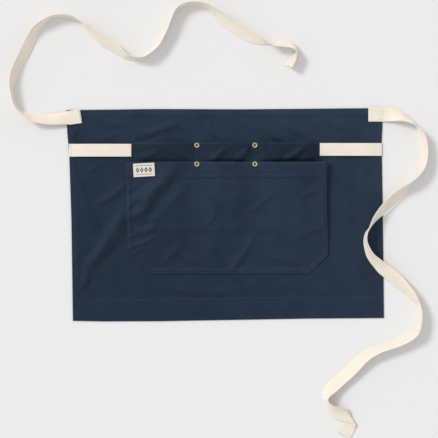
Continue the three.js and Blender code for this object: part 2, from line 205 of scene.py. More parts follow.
def creased(marks: Sequence[Crease], x: Array, y: Array) -> Array:
    """Sum of the heights of some creases."""
    return sum(crease.rise(x, y) for crease in marks)


def fold_height(folds: Sequence[Fold], across: Array, along: Array, aspect: float) -> Array:
    """Height that folds given in shares of a piece's sides add.

    Args:
        folds: the folds, with heights as shares of the piece's second side.
        across: shares of the first side.
        along: shares of the second side.
        aspect: first side divided by the second.

    Returns:
        The summed height as a share of the second side.
    """
    total = np.zeros_like(across)
    for fold in folds:
        run_x, run_y = (fold.x2 - fold.x1) * aspect, fold.y2 - fold.y1
        off_x, off_y = (across - fold.x1) * aspect, along - fold.y1
        share = clamp01((off_x * run_x + off_y * run_y) / (run_x**2 + run_y**2))
        distance = np.hypot(off_x - share * run_x, off_y - share * run_y)
        total += fold.height * np.maximum(0.0, bell(distance, fold.spread) - 0.01)
    return total


# Outline of the panel: how far its edges stand in, as shares of its width or height
SIDE_RISE = (0.0, 0.48, 0.77, 0.84, 0.91, 1.0)
SIDE_LEFT = (0.0195, 0.0148, 0.0085, 0.005, 0.0012, 0.0)
SIDE_RIGHT = (0.0, 0.0035, 0.0065, 0.0073, 0.005, 0.0038)
END_ACROSS = (0.0, 0.1, 0.28, 0.55, 0.75, 1.0)
END_BOTTOM = (0.0025, 0.0, 0.001, 0.0078, 0.013, 0.0158)
END_TOP = (0.0095, 0.008, 0.0044, 0.006, 0.0035, 0.0)
FRONT_DEPTH = (0.0, 0.52, 0.83, 1.0)
FRONT_LEFT = (0.0, 0.0083, 0.0138, 0.0138)
FRONT_RIGHT = (0.0135, 0.009, 0.0, 0.0)

PANEL_FOLDS = (
    Fold(0.067, 0.276, 0.148, 0.48, 0.0085, 0.021),
    Fold(0.04, 0.18, 0.055, 0.28, 0.004, 0.018),
)
FRONT_FOLDS = (
    Fold(0.05, 0.42, 0.22, 0.14, 0.008, 0.04),
    Fold(0.14, 0.52, 0.33, 0.2, 0.008, 0.035),
    Fold(0.53, 0.95, 0.63, 0.63, 0.009, 0.03),
    Fold(0.03, 0.7, 0.14, 0.58, 0.011, 0.025),
)

# Creases in the panel, in millimetres from its middle: x1, y1, x2, y2, height and spread
PANEL_CREASES = creases((
    (-243, -90, -170, 25, 4.4, 11), (-224, -94, -178, -40, -2.2, 8), (-236, 18, -178, 56, 2.6, 5),
    (-252, 79, -225, 94, 1.6, 4), (-181, 14, -178, -40, -1.3, 5), (-264, -140, -249, -100, 1.5, 7),
    (-252, -136, -238, -108, -1.2, 5), (-154, 148, -78, 170, 3.6, 5.5),
    (-167, 133, -118, 142, -1.8, 4), (-35, 168, -15, 139, 3.06, 4), (106, 170, 146, 142, 2.7, 5),
    (70, 161, 104, 133, 2.7, 4.5), (217, 27, 255, -122, 1.8, 13), (229, 85, 266, 18, -1.62, 9),
    (-136, -125, 45, -136, 1.44, 6), (81, -120, 226, -134, 1.26, 7),
    (-236, 175, -172, 159, 1.62, 6), (-283, 137, -265, 161, 1.6, 4), (27, 173, 66, 151, 2.16, 5),
    (175, 177, 217, 151, 2.16, 6), (-270, 77, -230, -24, 1.98, 7), (-274, 5, -236, 34, 0.7, 5),
    (-118, 177, -64, 155, 1.62, 6), (-234, 135, -194, 148, 1.44, 5),
))

# Creases in the front pocket, many of them short ones that start at its left seam
FRONT_CREASES = creases((
    (-90, 85, -160, -6, 6.6, 13.5), (-76, 74, -148, -18, -2.8, 11), (-174, 22, -132, 52, 2.2, 6),
    (-177, 8, -150, 24, -1.3, 3), (-176, -6, -134, 16, 2.6, 5), (-177, -40, -152, -29, 1.9, 3),
    (-176, -60, -124, -38, 3.2, 3.6), (-165, -20, -126, -12, -1.8, 7),
    (-172, -73, -147, -57, 2.0, 2.8), (-178, 44, -158, 52, 1.3, 2.6), (-37, -22, -17, 5, 1.7, 4),
    (12, -100, 52, -35, 2.4, 4.5), (36, 3, 92, 45, 2.2, 6), (117, 52, 157, -2, 1.98, 7),
    (66, -66, 139, -86, 1.62, 6), (-100, -64, -42, -87, 1.62, 6), (-118, -89, -75, -46, 1.5, 5),
    (-46, 66, -6, 14, 1.8, 7), (59, 34, 74, 1, 1.62, 4), (135, 34, 168, 48, 1.44, 4),
    (117, -46, 168, -20, 1.62, 5), (-20, 63, 37, 52, 1.44, 5), (157, 63, 159, -46, -2.4, 13),
    (-4, 68, -22, -62, 2.6, 22), (96, 66, 84, -50, 1.6, 20), (-35, -53, 9, -68, 1.44, 5),
))

# Creases in the strip of the rear pocket that shows
REAR_CREASES = creases((
    (-30, 97, 3, 123, 4.0, 5), (16, 98, 46, 125, 4.4, 5.5), (77, 123, 101, 97, 4.2, 5),
    (106, 98, 144, 124, 4.6, 5.5), (-154, 103, -116, 119, 1.87, 4.5),
    (-109, 124, -71, 103, 1.7, 4.5), (1, 121, 19, 103, 1.36, 3.5),
))


@dataclass
class ApronForm:
    """Outlines and heights of the apron's layers, in millimetres, placed by the frame's boxes."""

    canvas: float = 1.0
    hem: float = 1.8
    gap: float = 0.3
    side_hem: float = 12.0
    top_hem: float = 12.5
    bottom_hem: float = 39.5
    lie_height: float = 0.45
    ripple_height: float = 0.42
    pucker_height: float = 0.2
    divisions: tuple[float, float] = (-51.5, 53.5)
    row_offset: float = 1.6
    seam_flat: float = 3.0
    seam_reach: float = 42.0
    edge_flat: float = 4.0
    edge_reach: float = 22.0
    depth_share: float = 0.5
    rear_hem: float = 14.0
    rear_puff: float = 3.2
    rear_gape: tuple[float, float] = (3.0, 5.5)
    rear_gape_reach: float = 18.0
    rear_tuck: tuple[float, float] = (1.6, 1.6)
    rear_tuck_spread: float = 3.6
    rear_mouth_reach: float = 17.0
    rear_show: float = 8.0
    rear_swell: tuple[float, float] = (-40.0, 50.0)
    front_width: float = 368.0
    mouth_fall: float = 1.3
    front_hem: float = 29.7
    hem_bulk: float = 1.3
    turn_width: float = 8.6
    turn_bulk: float = 0.6
    left_puff: float = 6.4
    middle_puff: float = 5.2
    right_puff: float = 6.8
    left_swell: tuple[float, float] = (20.0, 50.0)
    right_swell: tuple[float, float] = (30.0, 70.0)
    middle_gape: float = 2.4
    middle_gape_reach: float = 12.0
    right_gape: float = 9.0
    right_gape_reach: float = 30.0
    left_reach: float = 46.0
    roll_radius: float = 3.6
    roll_share: float = 0.93
    lean_reach: float = 2.8
    lean_foot: float = 1.8
    lean_fade: float = 34.0
    cut_left: tuple[float, float] = (37.0, 45.0)
    cut_right: tuple[float, float] = (36.0, 35.0)
    cover_margin: float = 5.5
    cover_lip: float = 1.0
    ridge_height: float = 0.4
    ridge_spread: float = 4.2
    left_ridge: float = -20.5
    right_ridge: float = -30.0
    right_ridge_start: float = 54.0
    right_ridge_slant: float = 0.045
    ridge_meet: tuple[float, float] = (48.0, 60.0)
    panel: Extent = field(init=False)
    rear: Extent = field(init=False)
    front: Extent = field(init=False)

    def __post_init__(self) -> None:
        """Reads the places of the panel and the pockets."""
        self.panel, self.rear = Extent.of("body_panel"), Extent.of("rear_pocket")
        box = Extent.of("front_pocket")
        self.front = Extent(box.left, box.left + self.front_width, box.low, box.high - self.mouth_fall)

    @property
    def seam_rows(self) -> list[float]:
        """Where the two rows of stitches of each division seam run."""
        return [line + offset for line in self.divisions for offset in (-self.row_offset, self.row_offset)]

    def doubled(self, share: Array) -> Array:
        """Thickness of cloth that is doubled by a share."""
        return self.canvas + (self.hem - self.canvas) * share

    def panel_point(self, u: Array, v: Array) -> tuple[Array, Array]:
        """Place on the panel at shares of its width and height.

        Args:
            u: shares of the panel's width.
            v: shares of the panel's height.

        Returns:
            Places from left to right and from low to high.
        """
        left, right = np.interp(v, SIDE_RISE, SIDE_LEFT), np.interp(v, SIDE_RISE, SIDE_RIGHT)
        bottom, top = np.interp(u, END_ACROSS, END_BOTTOM), np.interp(u, END_ACROSS, END_TOP)
        x = self.panel.width * (left + (1 - left - right) * u - 0.5)
        y = self.panel.height * (bottom + (1 - bottom - top) * v - 0.5)
        return x, y

    def panel_shares(self, x: Array, y: Array) -> tuple[Array, Array]:
        """Shares of the panel's width and height at a place on it.

        Args:
            x: places from left to right, in millimetres.
            y: places from low to high, in millimetres.

        Returns:
            Shares of the width and of the height.
        """
        u, v = clamp01(x / self.panel.width + 0.5), clamp01(y / self.panel.height + 0.5)
        for _ in range(2):
            guess_x, guess_y = self.panel_point(clamp01(u), clamp01(v))
            u = u + (x - guess_x) / self.panel.width
            v = v + (y - guess_y) / self.panel.height
        return u, v

    def panel_insets(self, u: Array, v: Array) -> tuple[Array, Array, Array]:
        """Distances from the nearer side, the bottom and the top of the panel."""
        return np.minimum(u, 1 - u) * self.panel.width, v * self.panel.height, (1 - v) * self.panel.height

    def hem_share(self, u: Array, v: Array) -> Array:
        """1 where the panel's cloth is doubled by a hem, easing to 0 beside it.

        Args:
            u: shares of the panel's width.
            v: shares of the panel's height.

        Returns:
            Shares from 0 to 1.
        """
        side, bottom, top = self.panel_insets(u, v)
        inside = np.minimum.reduce((side - self.side_hem, bottom - self.bottom_hem, top - self.top_hem))
        return 1 - ease((inside + 0.5) / 1.4)

    def pucker(self, distance: Array, along: Array, reach: float = 7.0) -> Array:
        """Small gathers beside a line of stitches."""
        wave = np.sin(along / 2.1) + 0.6 * np.sin(along / 1.27 + 1.3) + 0.4 * np.sin(along / 4.7)
        return self.pucker_height * (1 + 0.5 * wave) * bell(distance, reach)

    def ripple(self, x: Array, y: Array) -> Array:
        """Small uneven waves that handled canvas keeps.

        Args:
            x: places from left to right, in millimetres.
            y: places from low to high, in millimetres.

        Returns:
            Heights in millimetres.
        """
        swell = 1 + 0.6 * np.sin(x / 71 + y / 53) * np.sin(y / 87 - x / 44 + 2)
        fine = np.sin(x / 5.3 + y / 7.9 + 2 * np.sin(y / 31))
        fine = fine + np.sin(x / 8.7 - y / 4.9 + 2 * np.sin(x / 37))
        broad = np.sin(x / 13 - y / 17 + np.sin(x / 41)) + np.sin(x / 16 + y / 12 + np.sin(y / 29))
        return self.ripple_height * swell * (1 + 0.3 * fine + 0.42 * broad)

    def from_division(self, x: Array) -> Array:
        """Distance from the nearer division seam."""
        return np.minimum(*(abs(x - line) for line in self.divisions))

    def panel_base(self, x: Array, y: Array) -> Array:
        """Underside of the panel: its folds, slight waves and the gathers at its seams.

        Args:
            x: places from left to right, in millimetres.
            y: places from low to high, in millimetres.

        Returns:
            Heights in millimetres.
        """
        u, v = self.panel_shares(x, y)
        side, bottom, top = self.panel_insets(u, v)
        folds = self.panel.height * fold_height(PANEL_FOLDS, u, v, self.panel.width / self.panel.height)
        waves = np.sin(x / 47 + 0.6) * np.sin(y / 39)
        waves = waves + 0.5 * np.sin(x / 21 + y / 33) * np.cos(y / 18 - x / 61)
        free = 0.15 + 0.85 * ease(np.minimum.reduce((side, bottom, top)) / 24)
        lie = (self.lie_height * (1 + 0.6 * waves) + self.ripple(x, y)) * free
        hems = self.pucker(top - self.top_hem, x) + self.pucker(bottom - self.bottom_hem + 3, x)
        hems = hems + self.pucker(side - self.side_hem, y)
        inside = ease((self.rear.high - y + 6) / 8) * ease((y - self.front.low + 6) / 8)
        seams = self.pucker(self.from_division(x), y, 5.0) * inside
        return np.maximum(folds + lie + hems + seams + creased(PANEL_CREASES, x, y), 0.0)

    def panel_top(self, x: Array, y: Array) -> Array:
        """Top of the panel's cloth."""
        return self.panel_base(x, y) + self.doubled(self.hem_share(*self.panel_shares(x, y)))

    def seam_rise(self, distance: Array, flat: float, reach: float) -> Array:
        """How full a compartment stands at a distance from a seam that presses it down."""
        return ease((distance - flat) / reach)

    def division_rise(self, x: Array) -> Array:
        """Fullness beside the two division seams."""
        return self.seam_rise(self.from_division(x), self.seam_flat, self.seam_reach)

    def depth_rise(self, pocket: Extent, y: Array) -> Array:
        """Fullness down a pocket, from its mouth to its bottom seam."""
        depth, flat = (pocket.high - y) / pocket.height, self.edge_flat / pocket.height
        return 1 - ease((depth - self.depth_share) / (1 - self.depth_share - flat))

    def rear_under(self, x: Array, y: Array) -> Array:
        """Underside of the rear pocket.

        Args:
            x: places from left to right, in millimetres.
            y: places from low to high, in millimetres.

        Returns:
            Heights in millimetres.
        """
        sides = np.minimum(x - self.rear.left, self.rear.right - x)
        rise = np.minimum(self.division_rise(x), self.seam_rise(sides, self.edge_flat, self.edge_reach))
        nearest = np.minimum(sides, self.from_division(x))
        opened = self.seam_rise(nearest, self.seam_flat, self.rear_mouth_reach)
        sag = 0.4 * np.sin(x / 17 + 0.4) * np.sin(y / 26 + 1) + 0.25 * np.sin(x / 9 - y / 13)
        showing = ease((y - self.front.high + self.rear_show) / self.rear_show)
        right = ease((x - self.rear_swell[0]) / self.rear_swell[1])
        gape, tuck = (least + more * right for least, more in (self.rear_gape, self.rear_tuck))
        gape = gape * waning(self.rear.high - y, self.rear_gape_reach)
        tuck = tuck * bell(y - self.front.high, self.rear_tuck_spread)
        mouth = opened * (gape - tuck + showing * creased(REAR_CREASES, x, y))
        lift = self.depth_rise(self.rear, y) * np.maximum(rise * (self.rear_puff + sag) + mouth, 0.0)
        return self.panel_top(x, y) + self.gap + lift

    def rear_cloth(self, _x: Array, y: Array) -> Array:
        """Thickness of the rear pocket, doubled along its mouth."""
        return self.doubled(1 - ease((self.rear.high - y - self.rear_hem + 1) / 2.4))

    def front_edges(self, y: Array) -> tuple[Array, Array]:
        """Left and right edges of the front pocket at a height, with its cut corners.

        Args:
            y: places from low to high, in millimetres.

        Returns:
            Places of the left and of the right edge.
        """
        depth, above = (self.front.high - y) / self.front.height, y - self.front.low
        left = self.front.left + self.front_width * np.interp(depth, FRONT_DEPTH, FRONT_LEFT)
        right = self.front.right - self.front_width * np.interp(depth, FRONT_DEPTH, FRONT_RIGHT)
        left = left + self.cut_left[0] * clamp01(1 - above / self.cut_left[1])
        right = right - self.cut_right[0] * clamp01(1 - above / self.cut_right[1])
        return left, right

    def roll(self, inward: Array) -> Array:
        """Height of the round side of the front pocket, as a share, at a distance from its seam."""
        return np.sqrt(np.maximum(0.0, 1 - (1 - clamp01(inward / self.roll_radius)) ** 2))

    def front_body(self, x: Array, y: Array) -> Array:
        """How far the front pocket would stand where no seam holds it down.

        Args:
            x: places from left to right, in millimetres.
            y: places from low to high, in millimetres.

        Returns:
            Heights in millimetres.
        """
        down = self.front.high - y
        full = self.depth_rise(self.front, y)
        across, aspect = (x - self.front.left) / self.front_width, self.front_width / self.front.height
        folds = self.front.height * fold_height(FRONT_FOLDS, across, down / self.front.height, aspect)
        sag = 0.35 * np.sin(x / 23 - 0.8) * np.sin(y / 19) + 0.2 * np.sin(x / 11 + y / 15)
        right = ease((x - self.divisions[1] - self.right_swell[0]) / self.right_swell[1])
        left = ease((self.divisions[0] - self.left_swell[0] - x) / self.left_swell[1])
        puff = self.middle_puff + (self.right_puff - self.middle_puff) * right
        puff = puff + (self.left_puff - self.middle_puff) * left
        gape = self.middle_gape * waning(down, self.middle_gape_reach) * (1 - right)
        gape = gape + self.right_gape * waning(down, self.right_gape_reach) * right
        return (puff + sag) * full + folds + gape + self.under_ridge(x, y)

    def front_under(self, x: Array, y: Array) -> Array:
        """Underside of the front pocket, which rolls down to its seam on the right.

        Args:
            x: places from left to right, in millimetres.
            y: places from low to high, in millimetres.

        Returns:
            Heights in millimetres.
        """
        left, right = self.front_edges(y)
        inward, above = right - x, y - self.front.low
        turned = clamp01(inward / self.roll_radius)
        slope = ease(inward / self.left_reach)
        rolled = self.roll_share * self.roll(inward) + (1 - self.roll_share) * slope
        held = self.seam_rise(x - left, self.edge_flat, self.left_reach)
        rise = np.minimum.reduce((self.division_rise(x), held, rolled))
        outside = np.maximum.reduce((self.rear.left - x, x - self.rear.right, self.rear.low - y, 0 * x))
        cover = 1 - clamp01((outside - self.cover_lip) / (self.cover_margin - self.cover_lip))
        seat = self.panel_top(x, y) + self.gap + cover * (self.canvas + self.gap)
        near_seam = ease(turned / 0.8) * ease((x - left) / 4) * ease(above / 6)
        seams = (self.pucker(x - left - 3, y, 6.0) + self.pucker(above - 3, x, 6.0)) * turned
        return seat + rise * self.front_body(x, y) + creased(FRONT_CREASES, x, y) * near_seam + seams

    def lean(self, x: Array, y: Array) -> Array:
        """How far the full right side of the front pocket leans out over its seam.

        Args:
            x: places from left to right, in millimetres.
            y: places from low to high, in millimetres.

        Returns:
            Distances to the right, in millimetres.
        """
        inward = self.front_edges(y)[1] - x
        roll, fade = self.roll(inward), 1 - ease((inward - self.roll_radius) / self.lean_fade)
        out = self.lean_reach * roll * fade - self.lean_foot * (1 - roll)
        return self.depth_rise(self.front, y) * out

    def under_ridge(self, x: Array, y: Array) -> Array:
        """Ridge that the rear pocket's bottom seam presses through the front one, in two slanting runs.

        Args:
            x: places from left to right, in millimetres.
            y: places from low to high, in millimetres.

        Returns:
            Heights in millimetres.
        """
        first, last = self.ridge_meet
        left_run = ease((x - self.rear.left - 6) / 30) * ease((last - x) / 16)
        right_run = ease((x - first) / 14) * ease((self.rear.right - 8 - x) / 20)
        right_line = self.right_ridge - self.right_ridge_slant * (x - self.right_ridge_start)
        upper, lower = bell(y - self.left_ridge, self.ridge_spread), bell(y - right_line, self.ridge_spread)
        return self.ridge_height * (upper * left_run + lower * right_run)

    def front_cloth(self, x: Array, y: Array) -> Array:
        """Thickness of the front pocket, doubled along its mouth and turned under at its edges.

        Args:
            x: places from left to right, in millimetres.
            y: places from low to high, in millimetres.

        Returns:
            Thicknesses in millimetres.
        """
        hem = 1 - ease((self.front.high - y - self.front_hem + 1) / 1.6)
        left, right = self.front_edges(y)
        inside = np.minimum.reduce((x - left, right - x, y - self.front.low))
        turned = 1 - ease((inside - self.turn_width) / 1.3)
        return self.canvas + np.maximum(self.hem_bulk * hem, self.turn_bulk * turned)

    def rear_top(self, x: Array, y: Array) -> Array:
        """Top of the rear pocket."""
        return on_top(self.rear_under, self.rear_cloth)(x, y)

    def front_top(self, x: Array, y: Array) -> Array:
        """Top of the front pocket."""
        return on_top(self.front_under, self.front_cloth)(x, y)


def on_top(under: Surface, cloth: Surface) -> Surface:
    """Surface on top of a layer of cloth.

    Args:
        under: height of the layer's underside.
        cloth: the layer's thickness at a place.

    Returns:
        A function that gives the height of the layer's top.
    """

    def top(x: Array, y: Array) -> Array:
        """Height of the layer's top at a place.

        Args:
            x: places from left to right, in millimetres.
            y: places from low to high, in millimetres.

        Returns:
            Heights in millimetres.
        """
        slope_x = (under(x + SLOPE_STEP, y) - under(x - SLOPE_STEP, y)) / (2 * SLOPE_STEP)
        slope_y = (under(x, y + SLOPE_STEP) - under(x, y - SLOPE_STEP)) / (2 * SLOPE_STEP)
        return under(x, y) + cloth(x, y) * np.sqrt(1 + slope_x**2 + slope_y**2)

    return top


class Bench:
    """Adds nodes to a tree and wires them, so that a finish reads as a short list of steps."""

    def __init__(self, tree: bpy.types.NodeTree) -> None:
        """Takes the tree to work on."""
        self.tree = tree

    def feed(self, into: Socket, given: Feed) -> None:
        """Links a socket to an input, or sets the input's value.

        Args:
            into: the input.
            given: a socket, or a value.
        """
        if isinstance(given, bpy.types.NodeSocket):
            self.tree.links.new(given, into)
        elif into.type == "RGBA":
            into.default_value = (*given, 1.0)
        else:
            into.default_value = given

    def node(self, kind: str, **inputs: Feed) -> bpy.types.Node:
        """Adds a shader node and feeds its inputs by name.

        Args:
            kind: the node's kind.
            inputs: sockets or values, by the inputs' names.

        Returns:
            The node.
        """
        made = self.tree.nodes.new(f"ShaderNode{kind}")
        for name, given in inputs.items():
            self.feed(made.inputs[name], given)
        return made

    def group(self, group: bpy.types.NodeTree, **inputs: Feed) -> Socket:
        """Adds a shared node group, feeds its inputs by name and gives its output.

        Args:
            group: the shared group.
            inputs: sockets or values, by the inputs' names.

        Returns:
            The group's output.
        """
        made = self.node("Group")
        made.node_tree = group
        for name, given in inputs.items():
            self.feed(made.inputs[name], given)
        return made.outputs[0]

    def math(self, operation: str, *inputs: Feed) -> Socket:
        """Adds a Math node with its inputs in order.

        Args:
            operation: the Math node's operation.
            inputs: sockets or values, in order.

        Returns:
            The node's output.
        """
        made = self.node("Math")
        made.operation = operation
        for into, given in zip(made.inputs, inputs):
            self.feed(into, given)
        return made.outputs[0]

    def times(self, *factors: Feed) -> Socket:
        """Multiplies some values."""
        return reduce(lambda first, second: self.math("MULTIPLY", first, second), factors)

    def plus(self, *parts: Feed) -> Socket:
        """Adds some values."""
        return reduce(lambda first, second: self.math("ADD", first, second), parts)

    def line(self, value: Feed, factor: Feed, start: Feed) -> Socket:
        """A value times a factor, and a start added."""
        return self.math("MULTIPLY_ADD", value, factor, start)

    def away(self, value: Feed, middle: float) -> Socket:
        """Distance of a value from a middle."""
        return self.math("ABSOLUTE", self.math("SUBTRACT", value, middle))

    def place(self) -> Socket:
        """Place on the object."""
        return self.node("TexCoord").outputs["Object"]

    def flat_place(self) -> Socket:
        """Place on the flat cloth, from the piece's own map.

        Returns:
            The place's socket.
        """
        made = self.node("UVMap")
        made.uv_map = CLOTH_MAP
        return made.outputs[0]

    def rubbed(self) -> Socket:
        """How rubbed the piece is.

        Returns:
            The socket.
        """
        made = self.node("Attribute")
        made.attribute_name = RUB_MARK
        return made.outputs["Fac"]

    def split(self, vector: Socket) -> tuple[Socket, ...]:
        """The three parts of a vector."""
        return tuple(self.node("SeparateXYZ", Vector=vector).outputs)

    def noise(self, place: Socket, scale: float, detail: float = 2.0) -> Socket:
        """Soft noise about 0.5."""
        return self.node("TexNoise", Vector=place, Scale=scale, Detail=detail).outputs[0]

    def scaled(self, colour: Feed, factor: Socket) -> Socket:
        """A colour times a factor that changes over the surface.

        Args:
            colour: the colour.
            factor: what it is multiplied by.

        Returns:
            The colour.
        """
        made = self.node("VectorMath")
        made.operation = "SCALE"
        self.feed(made.inputs[0], colour)
        self.feed(made.inputs["Scale"], factor)
        return made.outputs[0]

    def mixed(self, share: Socket, first: Colour, second: Colour) -> Socket:
        """Two colours mixed by a share.

        Args:
            share: share of the second colour.
            first: the first colour.
            second: the second colour.

        Returns:
            The colour.
        """
        made = self.node("Mix")
        made.data_type = "RGBA"
        for place, given in ((0, share), (6, first), (7, second)):
            self.feed(made.inputs[place], given)
        return made.outputs[2]

    def dress(self, shader: bpy.types.Node, **looks: Feed) -> None:
        """Feeds the shader's inputs, whose names are given with low lines for spaces."""
        for name, given in looks.items():
            self.feed(shader.inputs[name.replace("_", " ")], given)

    def relief(self, shader: bpy.types.Node, height: Socket, depth: float) -> None:
        """Raises the surface by a height in the shader's normal."""
        self.dress(shader, Normal=self.node("Bump", Distance=depth, Strength=1.0, Height=height).outputs[0])


# Node groups that several finishes share
Wiring = Callable[[Bench, Socket, Socket], Socket]


def shared_group(name: str, number: str, value: float, output: str, wiring: Wiring) -> bpy.types.NodeTree:
    """Node group with a vector and a number as inputs, built once under its name.

    Args:
        name: the group's name.
        number: name of the number input.
        value: the number's first value.
        output: name of the output.
        wiring: adds the nodes between the inputs and the output.

    Returns:
        The group.
    """
    found = bpy.data.node_groups.get(name)
    if found:
        return found
    group = bpy.data.node_groups.new(name, "ShaderNodeTree")
    group.interface.new_socket(name="Vector", in_out="INPUT", socket_type="NodeSocketVector")
    made = group.interface.new_socket(name=number, in_out="INPUT", socket_type="NodeSocketFloat")
    made.default_value = value
    group.interface.new_socket(name=output, in_out="OUTPUT", socket_type="NodeSocketFloat")
    start, end = group.nodes.new("NodeGroupInput"), group.nodes.new("NodeGroupOutput")
    relief = wiring(Bench(group), start.outputs["Vector"], start.outputs[number])
    group.links.new(relief, end.inputs[output])
    return group


def plain_threads(bench: Bench, place: Socket, pitch: Socket) -> Socket:
    """Threads that pass over and under each other in turn.

    Args:
        bench: adds and wires the nodes.
        place: place on the piece.
        pitch: distance between threads, in metres.

    Returns:
        Heights from 0 to 1.
    """
    runs = [bench.math("DIVIDE", part, pitch) for part in bench.split(place)[:2]]
    humps = [bench.math("SINE", bench.times(bench.math("FRACT", run), math.pi)) for run in runs]
    over = bench.math("FLOORED_MODULO", bench.plus(*(bench.math("FLOOR", run) for run in runs)), 2.0)
    warp, weft = (bench.times(hump, bench.line(other, 0.4, 0.6)) for hump, other in (humps, humps[::-1]))
    return bench.plus(bench.times(warp, over), bench.times(weft, bench.math("SUBTRACT", 1.0, over)))


def twill_threads(bench: Bench, place: Socket, pitch: Socket) -> Socket:
    """Ribs in a herringbone about the tape's middle.

    Args:
        bench: adds and wires the nodes.
        place: place on the piece.
        pitch: distance between threads, in metres.

    Returns:
        Heights from 0 to about 1.35.
    """
    along, across = (bench.math("DIVIDE", part, pitch) for part in bench.split(place)[:2])
    slant = bench.plus(along, bench.math("ABSOLUTE", across))
    ribs, cords = (
        bench.math("ABSOLUTE", bench.math("SINE", bench.times(run, turn)))
        for run, turn in ((slant, math.pi), (across, 2 * math.pi))
    )
    return bench.line(cords, 0.35, ribs)


class Weave(Enum):
    """Weaves of the cloths."""

    PLAIN = "plain_weave"
    TWILL = "herringbone_weave"

    def group(self) -> bpy.types.NodeTree:
        """Node group that gives the relief of the woven threads."""
        wiring = plain_threads if self is Weave.PLAIN else twill_threads
        return shared_group(self.value, "Pitch", 0.0006, "Relief", wiring)


# Scale of each layer of unevenness in yarn and how much it counts: slubs, fading and fibres
YARN_LAYERS = (
    ((60, 900, 60), 0.35), ((900, 60, 60), 0.35),
    ((12, 12, 12), 0.8), ((34, 26, 34), 0.8), ((260, 260, 260), 0.3),
)


def yarn_shades(bench: Bench, place: Socket, depth: Socket) -> Socket:
    """Shades of uneven yarn, a factor near 1.

    Args:
        bench: adds and wires the nodes.
        place: place on the piece.
        depth: how strong the shades are.

    Returns:
        The factor.
    """
    parts = []
    for scale, weight in YARN_LAYERS:
        stretched = bench.node("Mapping", Vector=place, Scale=scale).outputs[0]
        parts.append(bench.times(bench.math("SUBTRACT", bench.noise(stretched, 1.0, 3.0), 0.5), weight))
    return bench.line(bench.plus(*parts), depth, 1.0)


def yarn_group() -> bpy.types.NodeTree:
    """Node group that shades cloth as uneven yarn does."""
    return shared_group("uneven_yarn", "Depth", 0.1, "Shade", yarn_shades)


@dataclass(frozen=True)
class Finish:
    """A material made once and shared by the pieces that have it."""

    name: str

    def dress(self, bench: Bench, shader: bpy.types.Node) -> None:
        """Builds the finish's nodes; each finish has its own."""
        raise NotImplementedError

    def material(self) -> bpy.types.Material:
        """The finish as a Blender material.

        Returns:
            The material.
        """
        found = bpy.data.materials.get(self.name)
        if found:
            return found
        made = bpy.data.materials.new(self.name)
        made.use_nodes = True
        self.dress(Bench(made.node_tree), made.node_tree.nodes["Principled BSDF"])
        return made


@dataclass(frozen=True)
class ClothFinish(Finish):
    """Woven cotton with uneven yarn, threads in relief, a paler bloom where it is rubbed, and painted light
    that makes it lighter towards the upper right.
    """

    colour: Colour
    worn: Colour
    weave: Weave
    pitch: float
    depth: float
    unevenness: float
    roughness: float
    sheen: float
    gloss: float
    tint: Colour
    along_uv: bool = False
    glow: float = 0.0
    # Strength of the painted light that makes the colour lighter towards the upper right
    painted_light_slant: float = 0.0

    def faded(self, bench: Bench, place: Socket) -> Socket:
        """Factor of painted light: the cloth's colour is painted lighter towards the upper right, where the
        light falls more brightly on it.

        Args:
            bench: adds and wires the nodes.
            place: place on the piece.

        Returns:
            The factor.
        """
        across, up, _ = bench.split(place)
        slant = bench.line(up, 1.4, across)
        return bench.math("MAXIMUM", bench.line(slant, self.painted_light_slant, 1.0 + 0.15 * self.painted_light_slant), 0.85)

    def dress(self, bench: Bench, shader: bpy.types.Node) -> None:
        """Builds the cloth's colour, roughness and threads.

        Args:
            bench: adds and wires the nodes.
            shader: the material's shader.
        """
        place = bench.place()
        threads = bench.flat_place() if self.along_uv else place
        relief = bench.group(self.weave.group(), Vector=threads, Pitch=self.pitch)
        shade = bench.group(yarn_group(), Vector=threads, Depth=self.unevenness)
        shade = bench.times(shade, bench.line(relief, 0.16, 0.9))
        # Painted light: the colour is made lighter towards the upper right
        if self.painted_light_slant:
            shade = bench.times(shade, self.faded(bench, place))
        share = bench.times(bench.rubbed(), bench.noise(place, 120.0))
        bench.dress(
            shader,
            Base_Color=bench.scaled(bench.mixed(share, self.colour, self.worn), shade),
            Roughness=bench.line(relief, -0.08, self.roughness),
            Sheen_Weight=self.sheen,
            Sheen_Roughness=0.5,
            Specular_IOR_Level=self.gloss,
            Specular_Tint=self.tint,
            Subsurface_Weight=self.glow,
            Subsurface_Radius=(1.0, 0.8, 0.65),
            Subsurface_Scale=0.0025,
        )
        bench.relief(shader, relief, self.depth)


@dataclass(frozen=True)
class ThreadFinish(Finish):
    """Twisted sewing thread."""

    colour: Colour

    def dress(self, bench: Bench, shader: bpy.types.Node) -> None:
        """Builds the thread's uneven colour.

        Args:
            bench: adds and wires the nodes.
            shader: the material's shader.
        """
        noise = bench.noise(bench.place(), 900.0)
        colour = bench.scaled(self.colour, bench.line(noise, 0.5, 0.75))
        bench.dress(shader, Base_Color=colour, Roughness=bench.line(noise, 0.2, 0.5))


@dataclass(frozen=True)
class BrassFinish(Finish):
    """Aged brass, browner in its dish than on its rubbed rim."""

    colour: Colour
    patina: Colour

    def dress(self, bench: Bench, shader: bpy.types.Node) -> None:
        """Builds the patina, in the dish and in small spots.

        Args:
            bench: adds and wires the nodes.
            shader: the material's shader.
        """
        noise = bench.noise(bench.place(), 500.0, 6.0)
        share = bench.plus(bench.math("SUBTRACT", 1.0, bench.rubbed()), bench.line(noise, 0.5, -0.15))
        share = bench.math("MINIMUM", bench.math("MAXIMUM", share, 0.0), 1.0)
        colour, roughness = bench.mixed(share, self.colour, self.patina), bench.line(share, 0.25, 0.32)
        bench.dress(shader, Base_Color=colour, Roughness=roughness, Metallic=0.55)
        bench.relief(shader, noise, 0.00006)


